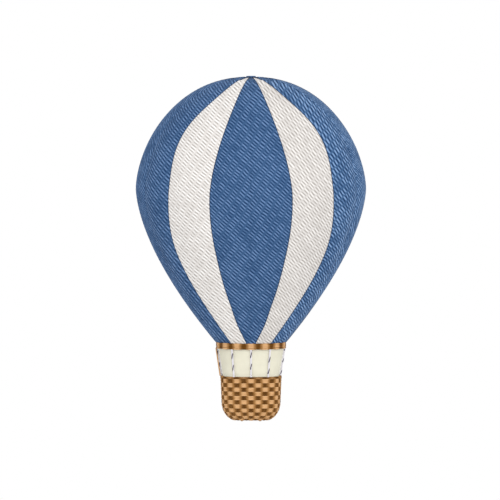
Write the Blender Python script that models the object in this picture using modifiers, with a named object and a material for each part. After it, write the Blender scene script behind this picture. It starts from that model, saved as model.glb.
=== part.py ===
"""Hot air balloon with sixteen gores, a cloth scoop, a woven basket and a gimballed burner.

Metres, +Z up, front at -Y. The origin is on the balloon's axis, level with the envelope's equator.
"""

from math import asin, cos, degrees, pi, radians, sin, sqrt

import bmesh
import bpy
import numpy as np
from mathutils import Matrix, Vector

# Driving dimensions of the envelope
EQUATOR_RADIUS = 4.55
CROWN_HEIGHT = 4.356
CROWN_FULLNESS = 1.7
CROWN_ROUNDNESS = 0.455
MOUTH_RADIUS = 1.378
MOUTH_DROP = 6.04
CONE_POWER = 1.605
SHELL = 0.010
SCALLOP = 0.017
VENT_RADIUS = 1.05
GORE_ROWS = 18
GORE_COLUMNS = 3
SEAM_GAP = 0.0004

# Heights and angles from the front of the two colour borders, in degrees
BORDER_HEIGHTS = (4.356, 4.08, 2.67, 0.0, -2.5, -4.4, -5.57, -6.04)
INNER_BORDER = (8.5, 9.8, 15.0, 20.8, 21.2, 18.3, 13.0, 7.2)
OUTER_BORDER = (25.5, 27.6, 42.0, 45.8, 50.5, 45.8, 39.0, 35.0)

# Crown and valve
TAPE_WIDTH = 0.055
TAPE_THICKNESS = 0.005
TAPE_LIFT = 0.0036
HUB_RADIUS = 0.30
CROWN_RING_RADIUS = 0.17
CROWN_RING_TUBE = 0.018
VALVE_OVERLAP = 0.15
VALVE_THICKNESS = 0.008
VALVE_SEGMENTS = 32

# Mouth hoop, ropes and scoop
HOOP_OUTER = 1.383
HOOP_INNER = 1.255
HOOP_HEIGHT = 0.235
HOOP_ROUNDING = 0.03
HOOP_CELLS = 30
ROPE_DIAMETER = 0.080
ROPE_TOP_RADIUS = 1.325
ROPE_LOW_RADIUS = 1.150
ROPE_TOP_ANGLE = 34.4
ROPE_LOW_ANGLE = 32.0
SCOOP_TOP_RADIUS = 1.277
SCOOP_LOW_RADIUS = 1.102
SCOOP_THICKNESS = 0.008
SCOOP_REACH = 143.0

# Basket, whose plan is a rounded square
BASKET_HALF_WIDTH = 1.20
PLAN_POWER = 3.0
RIM_TOP = -7.372
RIM_WIDTH = 0.115
RIM_HEIGHT = 0.07
WALL = 0.035
INNER_ROWS = 16
SIDE_TAPER = 0.040
BEND_TOP = -8.378
BEND_IN = 0.60
BEND_DOWN = 0.735
BASKET_BOTTOM = -9.132
RUNNER_HEIGHT = 0.045
RUNNER_WIDTH = 0.08
RUNNER_LENGTH = 1.05
RUNNER_OFFSET = 0.36
PLAN_SEGMENTS = 40

# Weave: pads of cane, raised and sunk in turn, each flat over a part of its cell
WEAVE_COLUMNS = 30
WEAVE_ROW = 0.168
WEAVE_RISE = 0.012
PAD_REACH = 0.34

# Floor
FLOOR_TOP = -8.63
DECK = 0.03
DECK_CLEARANCE = 0.0027
BEARER_WIDTH = 0.07
BEARER_HEIGHT = 0.12
BEARER_OFFSET = 0.45

# Burner and its frame
FRAME_HEIGHT = -6.72
FRAME_HALF = 0.70
FRAME_TUBE = 0.05
UPRIGHT_RADIUS = 0.024
GIMBAL_RADIUS = 0.50
GIMBAL_TUBE = 0.018
PIN_RADIUS = 0.012
PIN_CLEARANCE = 0.0005
BEARING = 0.07
BAR_HALF = 0.41
BAR_WIDTH = 0.06
BAR_HEIGHT = 0.05
CAN_RADIUS = 0.15
CAN_HEIGHT = 0.38
CAN_WALL = 0.005
CAN_OFFSET = 0.18
PLATE = 0.02
VALVE_BLOCK = (0.46, 0.15, 0.11)
COIL_TURNS = 3
COIL_TUBE = 0.012
COIL_PITCH = 0.05

# Fuel cylinders
CYLINDER_RADIUS = 0.15
CYLINDER_HEIGHT = 0.80
CYLINDER_X = 0.895
CYLINDER_Y = 0.28
COLLAR_RADIUS = 0.115
COLLAR_WALL = 0.006
STUB_RADIUS = 0.03
STUB_DROP = 0.03

TOUCH = 0.0003
MERGE = 0.00005

COLORS = {
    "blue_cloth": (0.063, 0.136, 0.283, 0.55, 0.0),
    "white_cloth": (0.77, 0.74, 0.72, 0.55, 0.0),
    "cream_cloth": (0.80, 0.78, 0.64, 0.8, 0.0),
    "tape": (0.05, 0.11, 0.24, 0.6, 0.0),
    "rope": (0.70, 0.68, 0.70, 0.8, 0.0),
    "cane": (0.37, 0.19, 0.067, 0.6, 0.0),
    "wood": (0.40, 0.25, 0.12, 0.6, 0.0),
    "alloy": (0.70, 0.71, 0.72, 0.35, 1.0),
    "steel": (0.60, 0.60, 0.60, 0.3, 1.0),
    "black": (0.03, 0.03, 0.03, 0.5, 0.0),
}


def clear_scene():
    for found in list(bpy.data.objects):
        bpy.data.objects.remove(found, do_unlink=True)


def collection(name):
    group = bpy.data.collections.new(name)
    bpy.context.scene.collection.children.link(group)
    return group


def material(name):
    red, green, blue, roughness, metallic = COLORS[name]
    made = bpy.data.materials.get(name)
    if made:
        return made
    made = bpy.data.materials.new(name)
    made.use_nodes = True
    shader = made.node_tree.nodes["Principled BSDF"]
    shader.inputs["Base Color"].default_value = (red, green, blue, 1.0)
    shader.inputs["Roughness"].default_value = roughness
    shader.inputs["Metallic"].default_value = metallic
    made.diffuse_color = (red, green, blue, 1.0)
    return made


clear_scene()
PARTS = collection("hot_air_balloon")
CUTTERS = collection("cutters")


def add(name, mesh, color, group=None):
    made = bpy.data.objects.new(name, mesh)
    mesh.materials.append(material(color))
    (group or PARTS).objects.link(made)
    return made


def to_mesh(name, bm):
    mesh = bpy.data.meshes.new(name)
    bm.to_mesh(mesh)
    bm.free()
    mesh.shade_smooth()
    mesh.set_sharp_from_angle(angle=radians(40))
    return mesh


def modifier(piece, kind, **settings):
    made = piece.modifiers.new(kind.title(), kind)
    for key, value in settings.items():
        setattr(made, key, value)
    return made


def thicken(piece, thickness, side):
    """Gives an open surface its wall: side -1 grows inwards, 1 outwards."""
    modifier(piece, "SOLIDIFY", thickness=thickness, offset=side, use_even_offset=True)


def baked(piece):
    """Replaces an object's mesh by its evaluated one, without modifiers."""
    bpy.context.view_layer.update()
    found = piece.evaluated_get(bpy.context.evaluated_depsgraph_get())
    mesh = bpy.data.meshes.new_from_object(found)
    piece.modifiers.clear()
    piece.data = mesh
    return piece


def level_ends(piece, low, high):
    """Cuts a shell's ends level, where its slanted wall would rise above or sink below them."""
    for vertex in baked(piece).data.vertices:
        vertex.co.z = min(max(vertex.co.z, low), high)


def cut_or_join(piece, tool, operation):
    modifier(piece, "BOOLEAN", operation=operation, object=tool, solver="EXACT")
    baked(piece)
    bpy.data.objects.remove(tool, do_unlink=True)
    return piece


def box(name, size, place, color, group=None):
    bm = bmesh.new()
    bmesh.ops.create_cube(bm, size=1.0, matrix=Matrix.Translation(place) @ Matrix.Diagonal((*size, 1.0)))
    return add(name, to_mesh(name, bm), color, group)


def rod(name, start, end, radius, color, sides=16, group=None):
    """A straight solid bar between two points."""
    start, end = Vector(start), Vector(end)
    turn = (end - start).to_track_quat("Z", "Y").to_matrix().to_4x4()
    bm = bmesh.new()
    bmesh.ops.create_cone(
        bm,
        cap_ends=True,
        segments=sides,
        radius1=radius,
        radius2=radius,
        depth=(end - start).length,
        matrix=Matrix.Translation((start + end) / 2) @ turn,
    )
    return add(name, to_mesh(name, bm), color, group)


def turned(name, profile, color, steps):
    """A closed profile of (radius, height) points, listed from its outer side's top downwards, turned about Z."""
    bm = bmesh.new()
    corners = [bm.verts.new((radius, 0.0, height)) for radius, height in profile]
    closed = profile[0][0] > MERGE or profile[-1][0] > MERGE
    for first, second in zip(corners, corners[1:] + corners[:1]):
        if closed or second is not corners[0]:
            bm.edges.new((first, second))
    piece = add(name, to_mesh(name, bm), color)
    modifier(
        piece,
        "SCREW",
        steps=steps,
        render_steps=steps,
        use_merge_vertices=True,
        merge_threshold=MERGE,
        use_smooth_shade=True,
    )
    return piece


def grid_surface(name, rows, color, closed=False):
    """A surface through rows of points, listed top row first and anticlockwise seen from above."""
    bm = bmesh.new()
    made = [[bm.verts.new(point) for point in row] for row in rows]
    for upper, lower in zip(made, made[1:]):
        count = len(upper)
        for i in range(count if closed else count - 1):
            j = (i + 1) % count
            bm.faces.new((upper[i], lower[i], lower[j], upper[j]))
    return add(name, to_mesh(name, bm), color)


def closed_shell(name, outer, inner, color):
    """A wall between two like grids of points, closed along its four edges."""
    bm = bmesh.new()
    skins = [[[bm.verts.new(point) for point in row] for row in rows] for rows in (outer, inner)]
    for skin in skins:
        for upper, lower in zip(skin, skin[1:]):
            for i in range(len(upper) - 1):
                bm.faces.new((upper[i], lower[i], lower[i + 1], upper[i + 1]))
    loops = [
        [*skin[0], *(row[-1] for row in skin[1:]), *skin[-1][-2::-1], *(row[0] for row in skin[-2:0:-1])]
        for skin in skins
    ]
    for i in range(len(loops[0])):
        j = (i + 1) % len(loops[0])
        bm.faces.new((loops[0][i], loops[0][j], loops[1][j], loops[1][i]))
    bmesh.ops.recalc_face_normals(bm, faces=bm.faces)
    return add(name, to_mesh(name, bm), color)


def around(radius, angle, height):
    """A point at an angle in degrees from the front, positive towards +X."""
    turn = radians(angle)
    return Vector((radius * sin(turn), -radius * cos(turn), height))


# The envelope's outline, its colour borders and its seams


def envelope_radius(height):
    if height >= 0:
        share = min(height / CROWN_HEIGHT, 1.0)
        return EQUATOR_RADIUS * (1 - share**CROWN_FULLNESS) ** CROWN_ROUNDNESS
    share = -height / MOUTH_DROP
    return EQUATOR_RADIUS - (EQUATOR_RADIUS - MOUTH_RADIUS) * share**CONE_POWER


def height_at(radius):
    """The height above the equator where the outline has this radius."""
    share = (1 - (radius / EQUATOR_RADIUS) ** (1 / CROWN_ROUNDNESS)) ** (1 / CROWN_FULLNESS)
    return CROWN_HEIGHT * share


def gore_heights():
    """The vent's edge, the valve's edge under it, and then even steps along the cloth to the mouth."""
    turns = np.linspace(0.0, pi / 2, 400)
    heights = np.concatenate([CROWN_HEIGHT * np.cos(turns), np.linspace(0, -MOUTH_DROP, 400)[1:]])
    radii = np.array([envelope_radius(height) for height in heights])
    along = np.concatenate([[0], np.cumsum(np.hypot(np.diff(radii), np.diff(heights)))])
    valve_edge = VENT_RADIUS + 1.2 * VALVE_OVERLAP
    first = np.interp(valve_edge, radii[: len(turns)], along[: len(turns)])
    rest = np.interp(np.linspace(first, along[-1], GORE_ROWS), along, heights)
    rest[-1] = -MOUTH_DROP + TOUCH
    return [height_at(VENT_RADIUS), *rest]


def border(height, angles):
    """A colour border's angle at a height, on a smooth curve through its few set points."""
    places, values = np.array(BORDER_HEIGHTS[::-1]), np.array(angles[::-1])
    slopes = np.gradient(values, places)
    i = int(np.clip(np.searchsorted(places, height) - 1, 0, len(places) - 2))
    span = places[i + 1] - places[i]
    t = (height - places[i]) / span
    low = values[i] * (1 + 2 * t) * (1 - t) ** 2 + slopes[i] * span * t * (1 - t) ** 2
    high = values[i + 1] * t * t * (3 - 2 * t) - slopes[i + 1] * span * t * t * (1 - t)
    return float(low + high)


def seam_angles(height):
    """The sixteen seams' angles at a height, anticlockwise from the front."""
    inner, outer = border(height, INNER_BORDER), border(height, OUTER_BORDER)
    side = (outer + 90) / 2
    right = [0.0, inner, outer, side, 90.0, 180 - side, 180 - outer, 180 - inner]
    return right + [180 + angle for angle in right] + [360.0]


def scallop(share, cross):
    """How far the cloth sinks towards its seams, as a share of its radius."""
    return SCALLOP * 4 * share * (1 - share) * (1 - 4 * cross * (1 - cross))


def inward(height):
    """The outline's inward normal at a height, as its change in radius and in height."""
    step = 0.02
    above, below = min(height + step, CROWN_HEIGHT), height - step
    slope = (envelope_radius(above) - envelope_radius(below)) / (above - below)
    return Vector((-1.0, slope)).normalized()


def gore(name, index, color, heights):
    """One gore, whose side walls lie in planes through the axis, so that neighbours meet square."""
    outer, inner = [], []
    for i, height in enumerate(heights):
        radius = envelope_radius(height)
        low, high = seam_angles(height)[index : index + 2]
        trim = degrees(SEAM_GAP / radius)
        shift_out, shift_up = inward(height) * SHELL
        outer.append([])
        inner.append([])
        for j in range(GORE_COLUMNS + 1):
            cross = j / GORE_COLUMNS
            angle = low + (high - low) * cross + trim * (j == 0) - trim * (j == GORE_COLUMNS)
            skin = radius * (1 - scallop(i / (len(heights) - 1), cross))
            outer[-1].append(around(skin, angle, height))
            inner[-1].append(around(skin + shift_out, angle, height + shift_up))
    return closed_shell(name, outer, inner, color)


def gores():
    """Four gores in each quarter: one blue from the front or back seam, one white, two blue to the side."""
    heights = gore_heights()
    quarters = ("front_right", "back_right", "back_left", "front_left")
    for index in range(16):
        quarter, step = divmod(index, 4)
        number = step + 1 if quarter % 2 == 0 else 4 - step
        color = "white_cloth" if number == 2 else "blue_cloth"
        gore(f"gore_{quarters[quarter]}_{number}", index, color, heights)
    return heights


def load_tapes(heights):
    """Sixteen webs over the seams, sewn together in a hub at the crown."""
    crown = [height_at(radius) for radius in np.linspace(HUB_RADIUS, VENT_RADIUS, 4)[:-1]]
    places = [*crown, *heights]
    bm = bmesh.new()
    starts = []
    for seam in range(16):
        previous = None
        for i, height in enumerate(places):
            share = max(i - len(crown), 0) / (len(heights) - 1)
            radius = envelope_radius(height) * (1 - scallop(share, 0))
            middle = around(radius, seam_angles(height)[seam], height)
            across = around(1.0, seam_angles(height)[seam] + 90, 0)
            pair = [bm.verts.new(middle + across * side * TAPE_WIDTH / 2) for side in (-1, 1)]
            if previous:
                bm.faces.new((previous[0], pair[0], pair[1], previous[1]))
            else:
                starts.append(pair)
            previous = pair
    rim = [vertex for pair in starts for vertex in pair]
    inner_radius = CROWN_RING_RADIUS - 0.06
    inner_height = height_at(inner_radius)
    inner = [bm.verts.new((*(v.co.xy.normalized() * inner_radius), inner_height)) for v in rim]
    for i in range(len(rim)):
        j = (i + 1) % len(rim)
        bm.faces.new((inner[i], rim[i], rim[j], inner[j]))
    bmesh.ops.recalc_face_normals(bm, faces=bm.faces)
    if sum(face.normal.z for face in bm.faces if face.calc_center_median().z > 0) < 0:
        bmesh.ops.reverse_faces(bm, faces=bm.faces)
    bm.normal_update()
    for vertex in bm.verts:
        vertex.co += vertex.normal * TAPE_LIFT
    piece = add("load_tapes", to_mesh("load_tapes", bm), "tape")
    thicken(piece, TAPE_THICKNESS, 1)


def crown_ring():
    """The metal ring that the load tapes are sewn round, lying on their hub."""
    middle = height_at(CROWN_RING_RADIUS) + TAPE_LIFT + TAPE_THICKNESS + CROWN_RING_TUBE - TOUCH
    profile = [
        (
            CROWN_RING_RADIUS + CROWN_RING_TUBE * cos(turn),
            middle - CROWN_RING_TUBE * sin(turn),
        )
        for turn in np.linspace(0, 2 * pi, 9)[:-1]
    ]
    turned("crown_ring", profile, "alloy", 24)


def parachute_valve():
    """The valve's round panel, which seats under the gores' upper ends and hangs free of the tapes."""
    edge = VENT_RADIUS + VALVE_OVERLAP
    radii = np.linspace(0.0, edge, 7)
    gap = SHELL + 0.003
    upper = []
    for radius in radii:
        slope = (height_at(radius + 0.01) - height_at(max(radius - 0.01, 0))) / (0.01 + min(radius, 0.01))
        drop = gap * sqrt(1 + slope * slope)
        upper.append((radius, height_at(radius) - drop))
    lower = [(radius, height - VALVE_THICKNESS) for radius, height in upper]
    profile = upper + lower[::-1]
    profile[-1] = (0.0, profile[-1][1])
    turned("parachute_valve_panel", profile, "blue_cloth", VALVE_SEGMENTS)


# Mouth hoop, ropes and scoop


def plan_radius(half_width, angle):
    """The rounded square's radius at an angle in degrees from the front."""
    turn = radians(angle)
    total = abs(sin(turn)) ** PLAN_POWER + abs(cos(turn)) ** PLAN_POWER
    return half_width / total ** (1 / PLAN_POWER)


def plan_angle(angle):
    """Where a line that leaves the round mouth at an angle meets the rounded square."""
    pull = (ROPE_TOP_ANGLE - ROPE_LOW_ANGLE) / sin(radians(2 * ROPE_TOP_ANGLE))
    return angle - pull * sin(radians(2 * angle))


def mouth_hoop():
    """A stout ring, woven on its outer face, whose flat top carries the gores' lower ends."""
    top, bottom, corner = -MOUTH_DROP, -MOUTH_DROP - HOOP_HEIGHT, HOOP_ROUNDING
    seat = HOOP_OUTER - MOUTH_RADIUS
    section = [
        (MOUTH_RADIUS, top, 0),
        (HOOP_OUTER - WEAVE_RISE, top - seat, 0),
        (HOOP_OUTER - WEAVE_RISE, top - seat - corner, 1),
        (HOOP_OUTER - WEAVE_RISE, bottom + 2 * corner, 1),
        (HOOP_OUTER - WEAVE_RISE, bottom + corner, 0),
        (HOOP_OUTER - corner, bottom, 0),
        (HOOP_INNER + corner / 2, bottom, 0),
        (HOOP_INNER, bottom + corner / 2, 0),
        (HOOP_INNER, top - corner, 0),
        (HOOP_INNER + corner, top, 0),
    ]
    rows = [
        [around(radius + relief * WEAVE_RISE * rise, 360 * share, height) for share, rise in pads(HOOP_CELLS)]
        for radius, height, relief in section
    ]
    ring("mouth_hoop", rows, "cane")


def pads(count):
    """The two edges of each pad in a closed row, as shares of the row, with 1 on raised and -1 on sunk pads."""
    return [((i + side * PAD_REACH) / count, (-1) ** i) for i in range(count) for side in (-1, 1)]


def ring(name, rows, color):
    """A solid ring whose section's corners are given as one row of points each."""
    piece = grid_surface(name, [*rows, rows[0]], color, closed=True)
    bm = bmesh.new()
    bm.from_mesh(piece.data)
    bmesh.ops.remove_doubles(bm, verts=bm.verts, dist=MERGE)
    bmesh.ops.recalc_face_normals(bm, faces=bm.faces)
    bm.to_mesh(piece.data)
    bm.free()


def ropes():
    """Eight ropes from the hoop's underside to the basket's rim."""
    places = {
        "rope_front": 0,
        "rope_front_right": ROPE_TOP_ANGLE,
        "rope_right": 90,
        "rope_back_right": 180 - ROPE_TOP_ANGLE,
        "rope_back": 180,
        "rope_back_left": 180 + ROPE_TOP_ANGLE,
        "rope_left": 270,
        "rope_front_left": 360 - ROPE_TOP_ANGLE,
    }
    top = -MOUTH_DROP - HOOP_HEIGHT - TOUCH
    for name, angle in places.items():
        low_angle = plan_angle(angle)
        low = around(plan_radius(ROPE_LOW_RADIUS, low_angle), low_angle, RIM_TOP + TOUCH)
        high = around(ROPE_TOP_RADIUS, angle, top)
        stay(name, high, low)


def stay(name, high, low):
    """A round rope whose two ends are cut level, to stand flat on what carries it."""
    sides = 12
    lean = Vector((high.x - low.x, high.y - low.y, 0)) / (high.z - low.z)
    rows = []
    for end in (high, low):
        ring = []
        for i in range(sides):
            turn = 2 * pi * i / sides
            out = Vector((cos(turn), sin(turn), 0)) * ROPE_DIAMETER / 2
            ring.append(end + out * sqrt(1 + lean.length_squared * 0.25))
        rows.append(ring)
    piece = grid_surface(name, rows, "rope", closed=True)
    bm = bmesh.new()
    bm.from_mesh(piece.data)
    bmesh.ops.holes_fill(bm, edges=bm.edges)
    bmesh.ops.recalc_face_normals(bm, faces=bm.faces)
    bm.to_mesh(piece.data)
    bm.free()


def scoop():
    """The cloth between hoop and basket, open at the back between its two free edges."""
    columns, rows = 40, 4
    top = -MOUTH_DROP - HOOP_HEIGHT - TOUCH
    low = RIM_TOP + TOUCH
    points = []
    for i in range(rows + 1):
        share = i / rows
        row = []
        for j in range(columns + 1):
            angle = -SCOOP_REACH + 2 * SCOOP_REACH * j / columns
            high_point = around(SCOOP_TOP_RADIUS, angle, top)
            low_angle = plan_angle(angle)
            low_point = around(plan_radius(SCOOP_LOW_RADIUS, low_angle), low_angle, low)
            row.append(high_point.lerp(low_point, share))
        points.append(row)
    piece = grid_surface("scoop", points, "cream_cloth")
    thicken(piece, SCOOP_THICKNESS, -1)
    level_ends(piece, low, top)


# Basket


def basket_half_width(height):
    """The basket's outer half width at a height."""
    down = (RIM_TOP - height) / (RIM_TOP - BEND_TOP)
    half = BASKET_HALF_WIDTH - SIDE_TAPER * min(down, 1.0)
    if height < BEND_TOP:
        share = min((BEND_TOP - height) / BEND_DOWN, 1.0)
        half -= BEND_IN * (1 - sqrt(1 - share * share))
    return half


def plan_row(half_width, height, segments=PLAN_SEGMENTS):
    return [
        around(plan_radius(half_width, 360 * i / segments), 360 * i / segments, height)
        for i in range(segments)
    ]


def outline_angle(share):
    """The angle that lies a share of the way along the rounded square's outline, from the front round."""
    angles = np.linspace(0, 360, 1441)
    points = np.array([around(plan_radius(1.0, angle), angle, 0) for angle in angles])
    run = np.concatenate([[0], np.cumsum(np.linalg.norm(np.diff(points, axis=0), axis=1))])
    return float(np.interp(share % 1 * run[-1], run, angles))


def wall_run(top, bottom):
    """Heights down the wall from top to bottom, and the length of its curve to each of them."""
    turns = np.linspace(0, asin(min((BEND_TOP - bottom) / BEND_DOWN, 1.0)), 60)
    heights = np.concatenate([[top], BEND_TOP - BEND_DOWN * np.sin(turns)])
    halves = np.array([basket_half_width(height) for height in heights])
    return heights, np.concatenate([[0], np.cumsum(np.hypot(np.diff(halves), np.diff(heights)))])


def woven_row(half_width, height):
    """A smooth row with its corners at the weave's columns."""
    angles = [outline_angle(share) for share, _ in pads(WEAVE_COLUMNS)]
    return [around(plan_radius(half_width, angle), angle, height) for angle in angles]


def basket_wall():
    """The woven side and rounded bottom: pads of cane outside, smooth inside."""
    top = RIM_TOP - RIM_HEIGHT - TOUCH
    bottom = BASKET_BOTTOM + RUNNER_HEIGHT
    columns = [(outline_angle(share), rise) for share, rise in pads(WEAVE_COLUMNS)]
    heights, run = wall_run(top, bottom)
    count = round(run[-1] / WEAVE_ROW)
    edges = [((i + 0.5 + side * PAD_REACH) / count, (-1) ** i) for i in range(count) for side in (-1, 1)]
    rows = []
    for share, sign in [(0, 0), *edges, (1, 0)]:
        height = float(np.interp(share * run[-1], run, heights))
        half = basket_half_width(height) - WEAVE_RISE
        rows.append(
            [around(plan_radius(half, angle) + WEAVE_RISE * sign * rise, angle, height) for angle, rise in columns]
        )
    heights, run = wall_run(top, bottom + WALL)
    inside = []
    for height in np.interp(np.linspace(0, run[-1], INNER_ROWS), run, heights):
        inside.append(woven_row(inner_half_width(height), height))
    piece = grid_surface("basket_wall", [*inside[::-1], *rows], "cane", closed=True)
    bm = bmesh.new()
    bm.from_mesh(piece.data)
    bmesh.ops.holes_fill(bm, edges=[edge for edge in bm.edges if edge.is_boundary])
    bmesh.ops.recalc_face_normals(bm, faces=bm.faces)
    bm.to_mesh(piece.data)
    bm.free()


def basket_rim():
    """A padded roll round the top of the wall."""
    corner = 0.02
    outer, inner = BASKET_HALF_WIDTH, BASKET_HALF_WIDTH - RIM_WIDTH
    section = [
        (outer - corner, RIM_TOP),
        (outer, RIM_TOP - corner),
        (outer, RIM_TOP - RIM_HEIGHT + corner / 2),
        (outer - corner / 2, RIM_TOP - RIM_HEIGHT),
        (inner + corner, RIM_TOP - RIM_HEIGHT),
        (inner, RIM_TOP - RIM_HEIGHT + corner),
        (inner, RIM_TOP - corner),
        (inner + corner, RIM_TOP),
    ]
    ring("basket_rim", [plan_row(half, height) for half, height in section], "cane")


def inner_half_width(height):
    return basket_half_width(height) - WALL


def floor_deck():
    """The plywood deck on two bearers, whose ends rest in the basket's rounded bottom."""
    half = inner_half_width(FLOOR_TOP - DECK) - DECK_CLEARANCE
    rows = [woven_row(half, FLOOR_TOP), woven_row(half, FLOOR_TOP - DECK)]
    piece = grid_surface("floor_deck", rows, "wood", closed=True)
    bm = bmesh.new()
    bm.from_mesh(piece.data)
    bmesh.ops.holes_fill(bm, edges=[e for e in bm.edges if e.is_boundary])
    bmesh.ops.recalc_face_normals(bm, faces=bm.faces)
    bm.to_mesh(piece.data)
    bm.free()


def bearers():
    top = FLOOR_TOP - DECK - TOUCH
    bottom = top - BEARER_HEIGHT
    half = inner_half_width(bottom) - 0.004
    reach = (half**PLAN_POWER - (BEARER_OFFSET + BEARER_WIDTH / 2) ** PLAN_POWER) ** (1 / PLAN_POWER)
    for name, side in (("floor_bearer_left", -1), ("floor_bearer_right", 1)):
        size = (BEARER_WIDTH, 2 * reach - 0.01, BEARER_HEIGHT)
        box(name, size, (side * BEARER_OFFSET, 0, (top + bottom) / 2), "wood")


def runners():
    height = BASKET_BOTTOM + RUNNER_HEIGHT / 2 - TOUCH / 2
    for name, side in (("runner_left", -1), ("runner_right", 1)):
        size = (RUNNER_WIDTH, RUNNER_LENGTH, RUNNER_HEIGHT - TOUCH)
        piece = box(name, size, (side * RUNNER_OFFSET, 0, height), "wood")
        modifier(piece, "BEVEL", width=0.008, segments=1)


# Burner


def uprights():
    low, high = FLOOR_TOP + TOUCH, FRAME_HEIGHT - FRAME_TUBE / 2 - TOUCH
    for name, x, y in (
        ("upright_front_left", -1, -1),
        ("upright_front_right", 1, -1),
        ("upright_back_left", -1, 1),
        ("upright_back_right", 1, 1),
    ):
        place = x * FRAME_HALF, y * FRAME_HALF
        rod(name, (*place, low), (*place, high), UPRIGHT_RADIUS, "black")


def burner_frame():
    """A square of tube with a bearing block inside each side rail, bored for the gimbal's pins."""
    outer = 2 * FRAME_HALF + FRAME_TUBE
    piece = box("burner_frame", (outer, outer, FRAME_TUBE), (0, 0, FRAME_HEIGHT), "alloy")
    inner = 2 * FRAME_HALF - FRAME_TUBE
    hole = box("frame_opening", (inner, inner, 3 * FRAME_TUBE), (0, 0, FRAME_HEIGHT), "alloy", CUTTERS)
    cut_or_join(piece, hole, "DIFFERENCE")
    for side in (-1, 1):
        x = side * (inner / 2 - BEARING / 2 + 0.005)
        size = (BEARING + 0.01, BEARING, BEARING)
        block = box("bearing", size, (x, 0, FRAME_HEIGHT), "alloy", CUTTERS)
        cut_or_join(piece, block, "UNION")
        ends = (side * (inner / 2 - BEARING - 0.02), 0, FRAME_HEIGHT), (side * (inner / 2 - 0.01), 0, FRAME_HEIGHT)
        bore = rod("bore", *ends, PIN_RADIUS + PIN_CLEARANCE, "alloy", 24, CUTTERS)
        cut_or_join(piece, bore, "DIFFERENCE")
    piece.data.set_sharp_from_angle(angle=radians(40))


def gimbal_ring():
    """The ring that tilts about X in the frame, with two pins outwards along X and two inwards along Y."""
    profile = [
        (GIMBAL_RADIUS + GIMBAL_TUBE * cos(turn), FRAME_HEIGHT - GIMBAL_TUBE * sin(turn))
        for turn in np.linspace(0, 2 * pi, 9)[:-1]
    ]
    piece = baked(turned("gimbal_ring", profile, "steel", 32))
    outer_end = FRAME_HALF - FRAME_TUBE / 2 - 0.015
    inner_end = BAR_HALF - 0.055
    for axis, end in (("x", outer_end), ("y", inner_end)):
        for side in (-1, 1):
            ends = [
                Vector((side * r, 0, FRAME_HEIGHT) if axis == "x" else (0, side * r, FRAME_HEIGHT))
                for r in (GIMBAL_RADIUS, end)
            ]
            pin = rod("pin", *ends, PIN_RADIUS, "steel", 24, CUTTERS)
            cut_or_join(piece, pin, "UNION")


def burner_base():
    """The cross bar with its two bored ends, the cans' plate, the valve block and the two blast levers."""
    piece = box("burner_base", (BAR_WIDTH, 2 * BAR_HALF, BAR_HEIGHT), (0, 0, FRAME_HEIGHT), "steel")
    top = FRAME_HEIGHT + BAR_HEIGHT / 2
    plate_size = (2 * (CAN_OFFSET + CAN_RADIUS) - 0.04, 1.5 * CAN_RADIUS, PLATE)
    join = [box("plate", plate_size, (0, 0, top - PLATE / 2 + 0.01), "steel", CUTTERS)]
    block_height = FRAME_HEIGHT - VALVE_BLOCK[2] / 2
    join.append(box("block", VALVE_BLOCK, (0, 0, block_height), "steel", CUTTERS))
    lever_height = FRAME_HEIGHT - VALVE_BLOCK[2] + 0.02
    for side in (-1, 1):
        x = side * (VALVE_BLOCK[0] / 2 - 0.06)
        size = (0.03, 0.24, 0.02)
        join.append(box("lever", size, (x, -0.05, lever_height - 0.012), "steel", CUTTERS))
    for tool in join:
        cut_or_join(piece, tool, "UNION")
    for side in (-1, 1):
        ends = (0, side * (BAR_HALF - 0.065), FRAME_HEIGHT), (0, side * (BAR_HALF + 0.02), FRAME_HEIGHT)
        bore = rod("bore", *ends, PIN_RADIUS + PIN_CLEARANCE, "steel", 24, CUTTERS)
        cut_or_join(piece, bore, "DIFFERENCE")
    return top + 0.01


def burner_cans(seat):
    for name, side in (("burner_can_left", -1), ("burner_can_right", 1)):
        low, high = seat + TOUCH, seat + CAN_HEIGHT
        inner = CAN_RADIUS - CAN_WALL
        profile = [
            (CAN_RADIUS, high),
            *coil_ribs(high - COIL_PITCH),
            (CAN_RADIUS, low + 0.05),
            (CAN_RADIUS - 0.03, low),
            (0.0, low),
            (0.0, low + CAN_WALL),
            (inner - 0.028, low + CAN_WALL),
            (inner, low + 0.052),
            (inner, high),
        ]
        piece = baked(cup(name, profile, "steel", 32))
        piece.data.transform(Matrix.Translation((side * CAN_OFFSET, 0, 0)))


def coil_ribs(top):
    """The outline of the vapour coil's turns on the can's outside, listed downwards."""
    points = []
    for turn in range(COIL_TURNS):
        middle = top - turn * COIL_PITCH
        points += [
            (CAN_RADIUS, middle + COIL_TUBE),
            (CAN_RADIUS + COIL_TUBE, middle + COIL_TUBE / 2),
            (CAN_RADIUS + COIL_TUBE, middle - COIL_TUBE / 2),
            (CAN_RADIUS, middle - COIL_TUBE),
        ]
    return points


def cup(name, profile, color, steps):
    """An open vessel: its profile runs down the outside to the axis and back up the inside."""
    bm = bmesh.new()
    corners = [bm.verts.new((radius, 0.0, height)) for radius, height in profile]
    for first, second in zip(corners, corners[1:] + corners[:1]):
        on_axis = first.co.x < MERGE and second.co.x < MERGE
        if not on_axis:
            bm.edges.new((first, second))
    piece = add(name, to_mesh(name, bm), color)
    modifier(
        piece,
        "SCREW",
        steps=steps,
        render_steps=steps,
        use_merge_vertices=True,
        merge_threshold=MERGE,
        use_smooth_shade=True,
    )
    return piece


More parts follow.
